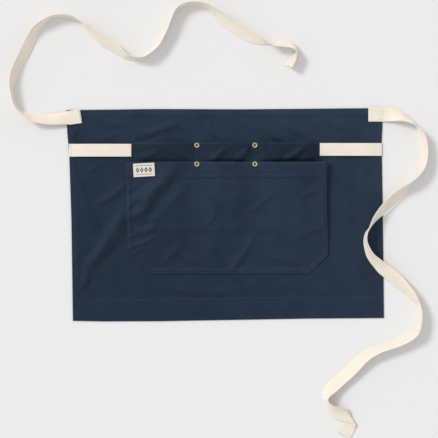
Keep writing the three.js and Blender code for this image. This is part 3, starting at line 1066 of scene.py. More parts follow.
@dataclass(frozen=True)
class LabelFinish(Finish):
    """Woven label: cream ground, two thin border lines and a plain row of lozenges between them."""

    ground: Colour
    ink: Colour
    repeats: int = 5

    def figure(self, bench: Bench, flat: Socket) -> Socket:
        """1 on the woven lines and lozenges and 0 beside them.

        Args:
            bench: adds and wires the nodes.
            flat: place on the flat cloth.

        Returns:
            A mask.
        """
        along, up = (
            bench.math("DIVIDE", part, size * MM) for part, size in zip(bench.split(flat), LABEL_SIZE)
        )
        rise = bench.away(up, 0.5)
        line = bench.math("LESS_THAN", bench.away(rise, 0.33), 0.022)
        inside = bench.math("LESS_THAN", bench.away(along, 0.5), 0.4)
        cell = bench.math("FRACT", bench.times(bench.plus(along, 0.1), self.repeats))
        reach = bench.plus(bench.times(bench.away(cell, 0.5), 0.5), rise)
        solid, ring = bench.math("LESS_THAN", reach, 0.23), bench.math("GREATER_THAN", reach, 0.06)
        return bench.math("MAXIMUM", bench.times(line, inside), bench.times(solid, ring, inside))

    def dress(self, bench: Bench, shader: bpy.types.Node) -> None:
        """Builds the ground and the woven figures from the label's own map.

        Args:
            bench: adds and wires the nodes.
            shader: the material's shader.
        """
        flat = bench.flat_place()
        yarn = bench.group(yarn_group(), Vector=flat, Depth=0.2)
        relief = bench.group(Weave.PLAIN.group(), Vector=flat, Pitch=0.0004)
        colour = bench.mixed(bench.times(self.figure(bench, flat), 0.85), self.ground, self.ink)
        bench.dress(shader, Base_Color=bench.scaled(colour, yarn), Roughness=bench.line(relief, -0.1, 0.8))
        bench.relief(shader, relief, 0.00008)


@dataclass(frozen=True)
class FloorFinish(Finish):
    """Matt pale paper."""

    colour: Colour

    def dress(self, bench: Bench, shader: bpy.types.Node) -> None:
        """Builds a plain matt surface with a trace of grain.

        Args:
            bench: adds and wires the nodes.
            shader: the material's shader.
        """
        shade = bench.line(bench.noise(bench.place(), 60.0), 0.01, 0.995)
        colour = bench.scaled(self.colour, shade)
        bench.dress(shader, Base_Color=colour, Roughness=0.95, Specular_IOR_Level=0.0)


NAVY_WORN, NAVY_TINT = (0.03, 0.044, 0.066), (0.33, 0.55, 0.92)
# Painted light: both canvases are painted lighter towards the upper right, by the strength given last in
# each
CANVAS = ClothFinish("navy_canvas", (0.0077, 0.012, 0.0198), NAVY_WORN, Weave.PLAIN,
                     0.0007, 0.00012, 1.0, 0.62, 0.03, 0.58, NAVY_TINT, painted_light_slant=1.1)
# Painted shade: the rear pocket's canvas is painted darker, standing in for the shade on its strip between
# the two pocket mouths
SHADED_REAR_CANVAS = ClothFinish("covered_canvas", (0.0056, 0.009, 0.0152), NAVY_WORN, Weave.PLAIN,
                             0.0007, 0.00012, 1.0, 0.62, 0.03, 0.5, NAVY_TINT, painted_light_slant=0.8)
WEBBING = ClothFinish("cream_webbing", (0.875, 0.79, 0.675), (0.93, 0.88, 0.8), Weave.TWILL,
                      0.0016, 0.0002, 0.14, 0.85, 0.5, 0.2, (1.0, 0.97, 0.92), along_uv=True, glow=0.25)
NAVY_THREAD = ThreadFinish("navy_thread", (0.031, 0.047, 0.075))
DARK_THREAD = ThreadFinish("dark_thread", (0.013, 0.024, 0.043))
CREAM_THREAD = ThreadFinish("cream_thread", (0.56, 0.46, 0.36))
BRASS = BrassFinish("aged_brass", (0.62, 0.55, 0.35), (0.05, 0.042, 0.028))
LABEL_CLOTH = LabelFinish("woven_label", (0.76, 0.73, 0.64), (0.045, 0.055, 0.07))
FLOOR = FloorFinish("pale_paper", (0.8, 0.8, 0.8))


# Makers of meshes
def mesh_object(name: str, points: Array, faces: list[Sequence[int]], finish: Finish) -> bpy.types.Object:
    """Makes a smooth-shaded object from points and faces.

    Args:
        name: the piece's name.
        points: corner places in millimetres, one row each.
        faces: the corner numbers of each face.
        finish: the piece's finish.

    Returns:
        The linked object.
    """
    mesh = bpy.data.meshes.new(name)
    mesh.from_pydata((points * MM).tolist(), [], faces)
    mesh.validate()
    mesh.polygons.foreach_set("use_smooth", np.ones(len(mesh.polygons), dtype=bool))
    mesh.materials.append(finish.material())
    made = bpy.data.objects.new(name, mesh)
    bpy.context.scene.collection.objects.link(made)
    return made


def settle(piece: bpy.types.Object, slot: Slot, *nodes: str) -> bpy.types.Object:
    """Makes a piece ride on the body and hides the nodes it stands for.

    Args:
        piece: the piece.
        slot: the record's slot; not used.
        nodes: the nodes that it stands for.

    Returns:
        The same piece.
    """
    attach(piece, BODY)
    if nodes:
        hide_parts(*nodes)
    LOG.info("%s: %d faces", piece.name, len(piece.data.polygons))
    return piece


def write_map(mesh: bpy.types.Mesh, flat: Array) -> None:
    """Writes each corner's place on the flat cloth, in metres, to the piece's map.

    Args:
        mesh: the piece's mesh.
        flat: place on the flat cloth.
    """
    loops = np.empty(len(mesh.loops), dtype=np.int64)
    mesh.loops.foreach_get("vertex_index", loops)
    layer = mesh.uv_layers.new(name=CLOTH_MAP)
    layer.data.foreach_set("uv", (flat[loops] * MM).astype(np.float32).ravel())


def write_rub(mesh: bpy.types.Mesh, rub: Array) -> None:
    """Writes how rubbed the cloth is at each corner."""
    layer = mesh.attributes.new(RUB_MARK, "FLOAT", "POINT")
    layer.data.foreach_set("value", rub.astype(np.float32).ravel())


@dataclass
class Sheet:
    """A closed thin sheet on a grid: underside points, thickness, flat places and rubbing."""

    name: str
    under: Array
    thickness: Array
    flat: Array
    rub: Array
    finish: Finish
    rim_pinch: tuple[float, float] = (0.32, 0.09)

    def build(self) -> bpy.types.Object:
        """Makes the sheet with its rim rounded over its outer two lines.

        Returns:
            The piece.
        """
        rows, columns, _ = self.under.shape
        normal = np.cross(np.gradient(self.under, axis=1), np.gradient(self.under, axis=0))
        normal /= np.linalg.norm(normal, axis=2, keepdims=True)
        inward = [np.minimum(np.arange(count), np.arange(count)[::-1]) for count in (rows, columns)]
        depth = np.minimum(inward[0][:, None], inward[1][None, :])
        pinch = np.select([depth == line for line in range(len(self.rim_pinch))], self.rim_pinch, 0.0)
        lower = self.under + normal * (self.thickness * pinch)[..., None]
        upper = self.under + normal * (self.thickness * (1 - pinch))[..., None]
        count = rows * columns
        at = np.arange(count).reshape(rows, columns)
        a, b, c, d = at[:-1, :-1].ravel(), at[:-1, 1:].ravel(), at[1:, 1:].ravel(), at[1:, :-1].ravel()
        rim = np.concatenate([at[0, :-1], at[:-1, -1], at[-1, :0:-1], at[:0:-1, 0]])
        after = np.roll(rim, -1)
        faces = np.concatenate([
            np.stack([a, d, c, b], axis=1),
            np.stack([a, b, c, d], axis=1) + count,
            np.stack([rim, after, after + count, rim + count], axis=1),
        ])
        points = np.concatenate([lower.reshape(-1, 3), upper.reshape(-1, 3)])
        made = mesh_object(self.name, points, faces.tolist(), self.finish)
        write_map(made.data, np.tile(self.flat.reshape(-1, 2), (2, 1)))
        write_rub(made.data, np.concatenate([0 * self.rub.ravel(), self.rub.ravel()]))
        return made

    def lay(
        self, slot: Slot, node: str, width: float, length: float
    ) -> None:
        """Args:
            slot: the record's slot.
            node: the node that it stands for.
            width: flat width in millimetres; not used.
            length: flat length in millimetres; not used.
        """
        made = settle(self.build(), slot, node)


@dataclass
class Stitching:
    """Rows of stitches, each stitch a copy of one that is modelled once."""

    length: float = 2.7
    spacing: float = 3.5
    radius: float = 0.3
    sink: float = 0.35
    lift: float = 0.25
    jog: float = 0.12
    jog_beat: float = 1.7
    blank_points: Array = field(init=False)
    blank_faces: list[tuple[int, ...]] = field(init=False)

    def __post_init__(self) -> None:
        """Models one stitch: a slim rounded strand with sunk ends."""
        bpy.ops.object.select_all(action="DESELECT")
        bpy.ops.mesh.primitive_uv_sphere_add(segments=6, ring_count=5, radius=1.0)
        blank = bpy.context.object
        bpy.ops.object.mode_set(mode="EDIT")
        bpy.ops.transform.rotate(value=math.pi / 2, orient_axis="Y", center_override=(0, 0, 0))
        size = (self.length / 2, self.radius, self.radius * 0.8)
        bpy.ops.transform.resize(value=size, center_override=(0, 0, 0))
        bpy.ops.object.mode_set(mode="OBJECT")
        self.blank_points = np.array([v.co[:] for v in blank.data.vertices])
        ends = self.blank_points[:, 0] / (self.length / 2)
        self.blank_points[:, 2] -= self.sink * self.radius * ends**2
        self.blank_faces = [tuple(p.vertices) for p in blank.data.polygons]
        bpy.data.objects.remove(blank, do_unlink=True)

    def row(self, line: Sequence[tuple[float, float]], surface: Surface) -> Array:
        """Frames of the stitches along one line on a surface.

        Args:
            line: corners of the line in millimetres.
            surface: height of the cloth's top.

        Returns:
            For each stitch its middle and its direction, as six numbers.
        """
        corners = np.array(line, dtype=float)
        places = np.concatenate([[0.0], np.cumsum(np.hypot(*np.diff(corners, axis=0).T))])
        count = int((places[-1] - self.length) / self.spacing)
        middles = np.linspace(self.length / 2, places[-1] - self.length / 2, max(2, count))

        def at(where: Array) -> Array:
            """Points on the surface at places along the line."""
            x, y = (np.interp(where, places, corners[:, axis]) for axis in (0, 1))
            return np.stack([x, y, surface(x, y)], axis=1)

        middle, reach = at(middles), self.length * 0.3
        ahead = at(middles + reach) - at(middles - reach)
        ahead /= np.linalg.norm(ahead, axis=1, keepdims=True)
        jog = self.jog * np.sin(middles * self.jog_beat)
        shift = [-ahead[:, 1] * jog, ahead[:, 0] * jog, 0 * jog + self.radius * self.lift]
        middle += np.stack(shift, axis=1)
        return np.concatenate([middle, ahead], axis=1)

    def sew(self, name: str, rows: Sequence[Array], finish: Finish, slot: Slot) -> None:
        """Joins all stitches of some rows in one piece.

        Args:
            name: the piece's name.
            rows: frames of stitches.
            finish: the thread.
            slot: the record's slot.
        """
        frames = np.concatenate(rows)
        ahead = frames[:, 3:]
        side = np.cross(np.array([0.0, 0.0, 1.0]), ahead)
        side /= np.linalg.norm(side, axis=1, keepdims=True)
        points = frames[:, None, :3] + sum(
            self.blank_points[None, :, axis:axis + 1] * way[:, None]
            for axis, way in enumerate((ahead, side, np.cross(ahead, side)))
        )
        faces = [
            tuple(corner + k * len(self.blank_points) for corner in face)
            for k in range(len(frames)) for face in self.blank_faces
        ]
        settle(mesh_object(name, points.reshape(-1, 3), faces, finish), slot)


@dataclass
class Panel:
    """The canvas panel with turned hems on all four sides."""

    form: ApronForm
    step: float = 3.0
    stitch_in: float = 1.2
    bottom_rows: tuple[float, float] = (1.0, 6.4)
    top_row_start: float = 0.045
    top_row_run: float = 0.92
    side_row_run: float = 0.93
    groove: float = 0.36

    def build(self) -> None:
        form, size = self.form, self.form.panel
        marks_across = [form.side_hem - self.stitch_in, size.width - form.side_hem + self.stitch_in]
        marks_up = [form.bottom_hem - row for row in self.bottom_rows]
        marks_up += [size.height - form.top_hem + self.stitch_in]
        side_steps = [form.side_hem + 1.0, size.width - form.side_hem - 1.0]
        end_steps = [form.bottom_hem + 1.0, size.height - form.top_hem - 1.0]
        across, up = np.meshgrid(
            spaced(size.width, self.step, around(marks_across) + side_steps),
            spaced(size.height, self.step, around(marks_up) + end_steps),
        )
        u, v = across / size.width, up / size.height
        x, y = form.panel_point(u, v)
        hem = form.hem_share(u, v)
        pressed = grooves(across, marks_across, self.groove) + grooves(up, marks_up, self.groove)
        rub = 0.15 * waning(np.minimum.reduce(form.panel_insets(u, v)), 2.0) + 0.1 * hem
        under, flat = np.stack([x, y, form.panel_base(x, y)], axis=2), np.stack([x, y], axis=2)
        cloth = Sheet("apron_panel", under, form.doubled(hem) - pressed, flat, rub, CANVAS)
        cloth.lay(Slot.CANVAS, "body_panel", size.width, size.height)

    def sew(self, stitching: Stitching) -> None:
        """Sews the hems.

        Args:
            stitching: makes the rows of stitches.
        """
        form = self.form
        shares = np.linspace(0.0, 1.0, 60)

        def row(u: Array, v: Array) -> Array:
            """Stitches along a line given in shares of the panel."""
            line = list(zip(*form.panel_point(u + 0 * shares, v + 0 * shares)))
            return stitching.row(line, form.panel_top)

        side = (form.side_hem - self.stitch_in) / form.panel.width
        top = 1 - (form.top_hem - self.stitch_in) / form.panel.height
        ends = [row(shares * self.top_row_run + self.top_row_start, top)]
        ends += [row(shares, (form.bottom_hem - inset) / form.panel.height) for inset in self.bottom_rows]
        stitching.sew("panel_stitches", ends, NAVY_THREAD, Slot.CANVAS)
        sides = [row(across, shares * self.side_row_run) for across in (side, 1 - side)]
        stitching.sew("panel_side_stitches", sides, DARK_THREAD, Slot.CANVAS)


@dataclass
class RearPocket:
    """The upper patch pocket, which runs down under the front one."""

    form: ApronForm
    step: float = 2.6
    rows_in: tuple[float, float] = (9.0, 12.2)
    groove: float = 0.5

    def build(self) -> None:
        form, size = self.form, self.form.rear
        seams = around([line - size.left for line in form.divisions], form.row_offset)
        across = spaced(size.width, self.step, seams)
        up = spaced(size.height, self.step, around([size.height - inset for inset in self.rows_in]))
        x, y = np.meshgrid(size.left + across, size.low + up)
        thickness = form.rear_cloth(x, y) - grooves(size.high - y, self.rows_in, self.groove)
        under, flat = np.stack([x, y, form.rear_under(x, y)], axis=2), np.stack([x, y], axis=2)
        rub = 0.7 * waning(size.high - y, 1.8)
        # Painted shade: the rear pocket's cloth takes the canvas that is painted darker
        cloth = Sheet("rear_pocket_cloth", under, thickness, flat, rub, SHADED_REAR_CANVAS)
        cloth.lay(Slot.CANVAS, "rear_pocket", size.width, size.height)

    def sew(self, stitching: Stitching) -> None:
        """Sews the mouth and the parts of the division seams that show.

        Args:
            stitching: makes the rows of stitches.
        """
        form, size = self.form, self.form.rear
        heights = [size.high - inset for inset in self.rows_in]
        mouth = [[(size.left + 1, y), (size.right - 1, y)] for y in heights]
        seams = [[(place, size.high - 1), (place, form.front.high - 12)] for place in form.seam_rows]
        rows = [stitching.row(line, form.rear_top) for line in mouth + seams]
        stitching.sew("rear_pocket_stitches", rows, DARK_THREAD, Slot.CANVAS)


@dataclass
class FrontPocket:
    """The large patch pocket with a deep hem and two cut corners."""

    form: ApronForm
    step: float = 2.4
    rows_in: tuple[float, float] = (20.4, 28.9)
    edge_rows: tuple[float, float] = (1.9, 8.1)
    left_row: float = 1.3
    row_ends: tuple[float, float] = (1.0, 3.0)
    groove: float = 0.5
    seam_groove: float = 0.18
    roll_lines: tuple[float, ...] = (0.1, 0.22, 0.38, 0.6, 0.85, 1.3, 2.0)

    def grid(self) -> tuple[Array, Array]:
        """Places of the pocket's grid, whose lines run with its edges and its division seams.

        Returns:
            Places from left to right and from low to high.
        """
        form, size = self.form, self.form.front
        seams = around([line - size.left for line in form.divisions], form.row_offset)
        turns = around([form.turn_width + 0.6, size.width - form.turn_width - 0.6], 0.8)
        roll = [size.width - share * form.roll_radius for share in self.roll_lines]
        across = spaced(size.width, self.step, seams + turns + [r for r in roll if r < size.width - 1])
        rows = around([size.height - inset for inset in self.rows_in] + list(self.edge_rows))
        steps = [size.height - form.front_hem - 1.1, form.turn_width + 1.4]
        up = spaced(size.height, self.step, rows + steps)
        place, y = size.left + across[None, :], size.low + up[:, None]
        left, right = form.front_edges(y)
        first, last = form.divisions
        inward = size.right - place
        on_left = left + (first - left) * (place - size.left) / (first - size.left)
        on_right = right - (right - last) * inward / (size.right - last)
        on_right = np.where(inward <= 2 * form.roll_radius, right - inward, on_right)
        x = np.where(place <= first, on_left, np.where(place < last, place, on_right))
        return x, y + 0 * x

    def build(self) -> None:
        form, size = self.form, self.form.front
        x, y = self.grid()
        left, right = form.front_edges(y)
        pressed = grooves(size.high - y, self.rows_in, self.groove)
        pressed = pressed + grooves(x, form.seam_rows, self.seam_groove)
        edge = np.minimum.reduce([x - left, right - x, y - size.low])
        rub = 0.75 * waning(size.high - y, 2.0) + 0.12 * waning(edge, 2.5)
        rub = rub + 0.4 * waning(abs(right - x - 2.5), 1.6)
        under = np.stack([x + form.lean(x, y), y, form.front_under(x, y)], axis=2)
        flat = np.stack([x, y], axis=2)
        cloth = Sheet("front_pocket_cloth", under, form.front_cloth(x, y) - pressed, flat, rub, CANVAS)
        corners = (math.prod(form.cut_left) + math.prod(form.cut_right)) / 2
        cloth.lay(Slot.CANVAS, "front_pocket", size.width, size.height)

    def sew(self, stitching: Stitching) -> None:
        """Sews the hem, the edge rows and the division seams.

        Args:
            stitching: makes the rows of stitches.
        """
        form, size = self.form, self.form.front
        hems = []
        for inset in self.rows_in:
            y = size.high - inset
            left, right = (float(edge) for edge in form.front_edges(np.array(y)))
            line = [(left + self.row_ends[0], y), (right - self.row_ends[1], y)]
            hems.append(stitching.row(line, form.front_top))
        rows = [hems[0]]
        corner = size.low + form.cut_left[1]
        for inset, top in zip(self.edge_rows, (size.high - 1, corner + 3)):
            heights = np.array([top, corner])
            edges = form.front_edges(heights)[0] + inset + self.left_row
            line = list(zip(edges, heights))
            line.append((size.left + 5 + form.cut_left[0] + inset * 0.4, size.low + inset))
            line.append((size.right - form.cut_right[0] - inset * 0.4, size.low + inset))
            line.append((size.right - inset, size.low + form.cut_right[1] + inset * 0.3))
            rows.append(stitching.row(line, form.front_top))
        for frames in rows:
            frames[:, 0] += form.lean(frames[:, 0], frames[:, 1])
        stitching.sew("front_pocket_stitches", rows, NAVY_THREAD, Slot.CANVAS)
        top, foot = size.high - 1, size.low + self.edge_rows[0]
        seams = [[(place, top), (place, foot)] for place in form.seam_rows]
        dark = hems[1:] + [stitching.row(line, form.front_top) for line in seams]
        stitching.sew("front_seam_stitches", dark, DARK_THREAD, Slot.CANVAS)


@dataclass
class ToolLoop:
    """A band of tape sewn down at both ends beside the pockets."""

    form: ApronForm
    side: Side
    thickness: float = 1.2
    arch: float = 3.6
    cup: float = 0.25
    sewn: float = 5.0
    reach: float = 34.0
    step: float = 2.0
    row_in: float = 1.4
    selvedge_dip: float = 0.15
    selvedge_in: float = 1.3

    def build(self, stitching: Stitching) -> None:
        """Makes the tape and its stitches.

        Args:
            stitching: makes the rows of stitches.
        """
        word, form = self.side.word, self.form
        box = Extent.of(f"{word}_tool_loop")
        outer, inner = (box.left, box.right) if self.side is Side.LEFT else (box.right, box.left)
        length, half, middle = box.width, box.height / 2, (box.low + box.high) / 2
        across = spaced(length, self.step, around([self.sewn - 1, length - self.sewn + 1]))
        x, y = np.meshgrid(box.left + across, box.low + spaced(box.height, 1.5))
        seat, step_up = form.hem + form.gap, form.canvas + form.gap

        def under(at_x: Array, at_y: Array) -> Array:
            """Underside of the tape, which arches between its sewn ends.

            Args:
                at_x: places from left to right, in millimetres.
                at_y: places from low to high, in millimetres.

            Returns:
                Heights in millimetres.
            """
            distance = abs(at_x - outer)
            rise = ease((np.minimum(distance, length - distance) - self.sewn) / self.reach)
            climb = step_up * ease(distance / length)
            cup = self.cup * ((at_y - middle) / half) ** 2
            return form.panel_base(at_x, at_y) + seat + climb + (self.arch - climb - cup) * rise

        def top(at_x: Array, at_y: Array) -> Array:
            """Top of the cloth."""
            return under(at_x, at_y) + self.thickness

        off = abs(y - middle)
        thickness = self.thickness - self.selvedge_dip * bell(off - half + self.selvedge_in, 0.6)
        grid, flat = np.stack([x, y, under(x, y)], axis=2), np.stack([x, y - middle], axis=2)
        tape = Sheet(f"{word}_tape_loop", grid, thickness, flat, 0.5 * waning(half - off, 1.2), WEBBING)
        tape.lay(Slot.WEBBING, f"{word}_tool_loop", length, box.height)
        rows = []
        for place in (self.sewn - self.row_in, length - self.sewn + self.row_in):
            at = outer + math.copysign(place, inner - outer)
            rows.append(stitching.row([(at, box.low + 1), (at, box.high - 1)], top))
        stitching.sew(f"{word}_tape_stitches", rows, CREAM_THREAD, Slot.WEBBING)


@dataclass
class Label:
    """The small woven tab on the front pocket's hem."""

    form: ApronForm
    thickness: float = 0.8
    inset: float = 16.3
    drop: float = 1.3
    lift: float = 0.45
    turn: float = math.radians(3)
    stitch_in: float = 1.3

    def build(self, stitching: Stitching) -> None:
        """Makes the label and the stitches at its two ends.

        Args:
            stitching: makes the rows of stitches.
        """
        form, (length, height) = self.form, LABEL_SIZE
        corner_x = form.front.left + self.inset
        corner_y = form.front.high - self.drop - height - self.lift - length * math.sin(self.turn)

        def placed(across: Array, up: Array) -> tuple[Array, Array]:
            """Place on the pocket of a place on the label."""
            cosine, sine = math.cos(self.turn), math.sin(self.turn)
            return corner_x + across * cosine - up * sine, corner_y + across * sine + up * cosine

        def top(at_x: Array, at_y: Array) -> Array:
            """Top of the cloth."""
            return raised(at_x, at_y) + self.thickness

        raised = on_top(form.front_under, lambda at_x, at_y: form.front_cloth(at_x, at_y) + self.lift * 0.5)
        across, up = np.meshgrid(spaced(length, 1.2), spaced(height, 1.2))
        x, y = placed(across, up)
        under, flat = np.stack([x, y, raised(x, y)], axis=2), np.stack([across, up], axis=2)
        tab = Sheet("woven_tab", under, self.thickness + 0 * x, flat, 0 * x, LABEL_CLOTH)
        tab.lay(Slot.LABEL, "label", length, height)
        places = (self.stitch_in, length - self.stitch_in)
        rows = [stitching.row([placed(at, 1), placed(at, height - 1)], top) for at in places]
        stitching.sew("tab_stitches", rows, CREAM_THREAD, Slot.LABEL)


@dataclass
class Rivets:
    """Brass rivets at the tops of the division seams, modelled once and copied."""

    radius: float = 4.5
    rim: float = 1.5
    dish: float = 0.7
    dish_wall: float = 0.35
    dish_floor: float = 1.2
    button_wall: float = 0.4
    button_rise: float = 0.18
    edge_round: float = 0.45
    turn_step: float = 0.7
    nodes: tuple[str, ...] = tuple(
        f"rivet_{pocket}_{side.word}" for pocket in ("rear", "front") for side in Side
    )

    def model(self) -> bpy.types.Mesh:
        """Models one rivet's cap about the origin.

        Returns:
            Its mesh, with the foot at zero height.
        """
        low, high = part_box(self.nodes[0])
        tall = high.z - low.z
        bpy.ops.object.select_all(action="DESELECT")
        bpy.ops.mesh.primitive_cylinder_add(
            vertices=48, radius=self.radius * MM, depth=tall, location=(0, 0, tall / 2)
        )
        cap = bpy.context.object
        bpy.ops.object.transform_apply(location=True, rotation=True, scale=True)
        bpy.ops.object.mode_set(mode="EDIT")
        bpy.ops.mesh.select_mode(type="FACE")
        bpy.ops.mesh.select_all(action="DESELECT")
        bpy.ops.object.mode_set(mode="OBJECT")
        for face in cap.data.polygons:
            face.select = face.normal.z > 0.9
        bpy.ops.object.mode_set(mode="EDIT")
        insets = (self.rim, self.dish_wall, self.dish_floor, self.button_wall)
        for inset, rise in zip(insets, (0.0, -self.dish, 0.0, self.button_rise)):
            bpy.ops.mesh.inset(thickness=inset * MM, depth=rise * MM)
        bpy.ops.object.mode_set(mode="OBJECT")
        bevel = cap.modifiers.new("rolled_edges", "BEVEL")
        bevel.width = self.edge_round * MM
        bevel.segments = 4
        bevel.limit_method = "ANGLE"
        bevel.angle_limit = math.radians(35)
        bpy.ops.object.modifier_apply(modifier=bevel.name)
        bpy.ops.object.shade_smooth_by_angle(angle=math.radians(50))
        mesh = cap.data
        worn = self.radius - self.rim - self.dish
        write_rub(mesh, np.array([float(math.hypot(v.co.x, v.co.y) / MM > worn) for v in mesh.vertices]))
        mesh.materials.clear()
        mesh.materials.append(BRASS.material())
        bpy.data.objects.remove(cap, do_unlink=True)
        return mesh

    def build(self, form: ApronForm) -> None:
        """Places a copy of the rivet where each node is, with its foot on the cloth.

        Args:
            form: the apron's form.
        """
        blank = self.model()
        for turn, node in enumerate(self.nodes):
            low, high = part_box(node)
            x, y = (low.x + high.x) / 2, (low.y + high.y) / 2
            cloth = form.rear_top if "rear" in node else form.front_top
            seat = float(cloth(np.array(x / MM), np.array(y / MM))) * MM
            mesh = blank.copy()
            foot = Matrix.Translation(Vector((x, y, max(low.z, seat))))
            mesh.transform(foot @ Matrix.Rotation(self.turn_step * turn, 4, "Z"))
            cap = bpy.data.objects.new(f"{node}_cap", mesh)
            bpy.context.scene.collection.objects.link(cap)
            settle(cap, Slot.BRASS, node)


# Routes of the ties: x and y in millimetres from the panel's top corner, roll in degrees,
# and where a tie is folded over its lift and the skew of its edge
LEFT_ROUTE = (
    (26, -11, 0), (0, -14.6, 8), (-30, -16.2, 30), (-46, -15.2, 42), (-61, -14.2, 56),
    (-73, -9, 70), (-84, -2, 78), (-93, 10, 80), (-98.5, 29, 82), (-98.5, 48, 70),
    (-92, 71, 54), (-77, 101, 42), (-66, 124, 42), (-54, 146, 54), (-38, 162, 77),
    (-23, 169, 81), (-4, 170, 78), (14, 166, 78), (25, 160, 84), (44, 143, 64),
    (67, 124, 48), (84, 114, 51), (95, 106, 59), (108, 96, 70), (123, 93, 76),
    (138, 95, 88), (149, 104, 104), (161, 117, 115), (171, 133, 115), (180, 149, 108),
    (190, 170, 98), (201, 185, 88), (221, 192, 77), (247, 190, 72), (268, 178, 60),
    (291, 159, 37), (310, 146, 33), (332, 134, 36), (352, 124, 60), (373, 118, 98),
    (395, 120, 122), (408, 116, 112), (414, 107, 92), (411, 97, 68), (406, 88, 58),
    (401, 79, 58),
)
RIGHT_ROUTE = (
    (-26, -12, 0), (0, -12, 0), (20, -12, -18), (35, -15.5, -48), (53, -25, -74),
    (62, -35, -92), (70, -50, -115), (74, -71, -122), (74, -89, -119), (71, -106, -112),
    (62, -123, -98), (51, -136, -82), (35, -151, -56), (17, -167, -47), (1, -183, -53),
    (-14, -200, -68), (-22, -212, -82), (-30, -226, -96), (-32, -240, -102),
    (-29, -253, -110), (-22, -268, -122), (-10, -281, -136), (2, -292, -150),
    (15, -302, -149), (29, -314, -144), (44, -329, -130), (53, -339, -121),
    (63, -354, -105), (68, -369, -98), (68, -384, -98), (65, -396, -103),
    (59, -407, -112), (41, -417, -130), (17, -427, -128), (-7, -435, -130),
    (-31, -448, -138), (-60, -476, -150), (-90, -503, -150), (-103, -518, -128),
    (-104, -530, -112), (-95, -543, -128), (-78, -552, -158, 1.5), (-57, -560, -178, 2.6, 80),
    (-59, -572, -180, 0, 180), (-71, -593, -180, 0, 180),
)

# How far the webbing's middle bulges out of its line, in millimetres, at rows of the routes
LEFT_CURLS = (
    (22, 0), (24, -2.5), (26, -2.5), (28, 0), (33, 0),
    (35, -3.0), (38, -4.0), (40, -3.0), (42, -2.5), (44, -1.0),
)
RIGHT_CURLS = ((14, 0), (16, 1.5), (19, 1.5), (21, 0), (26, 0), (28, 1.2), (30, 1.2), (32, 0))


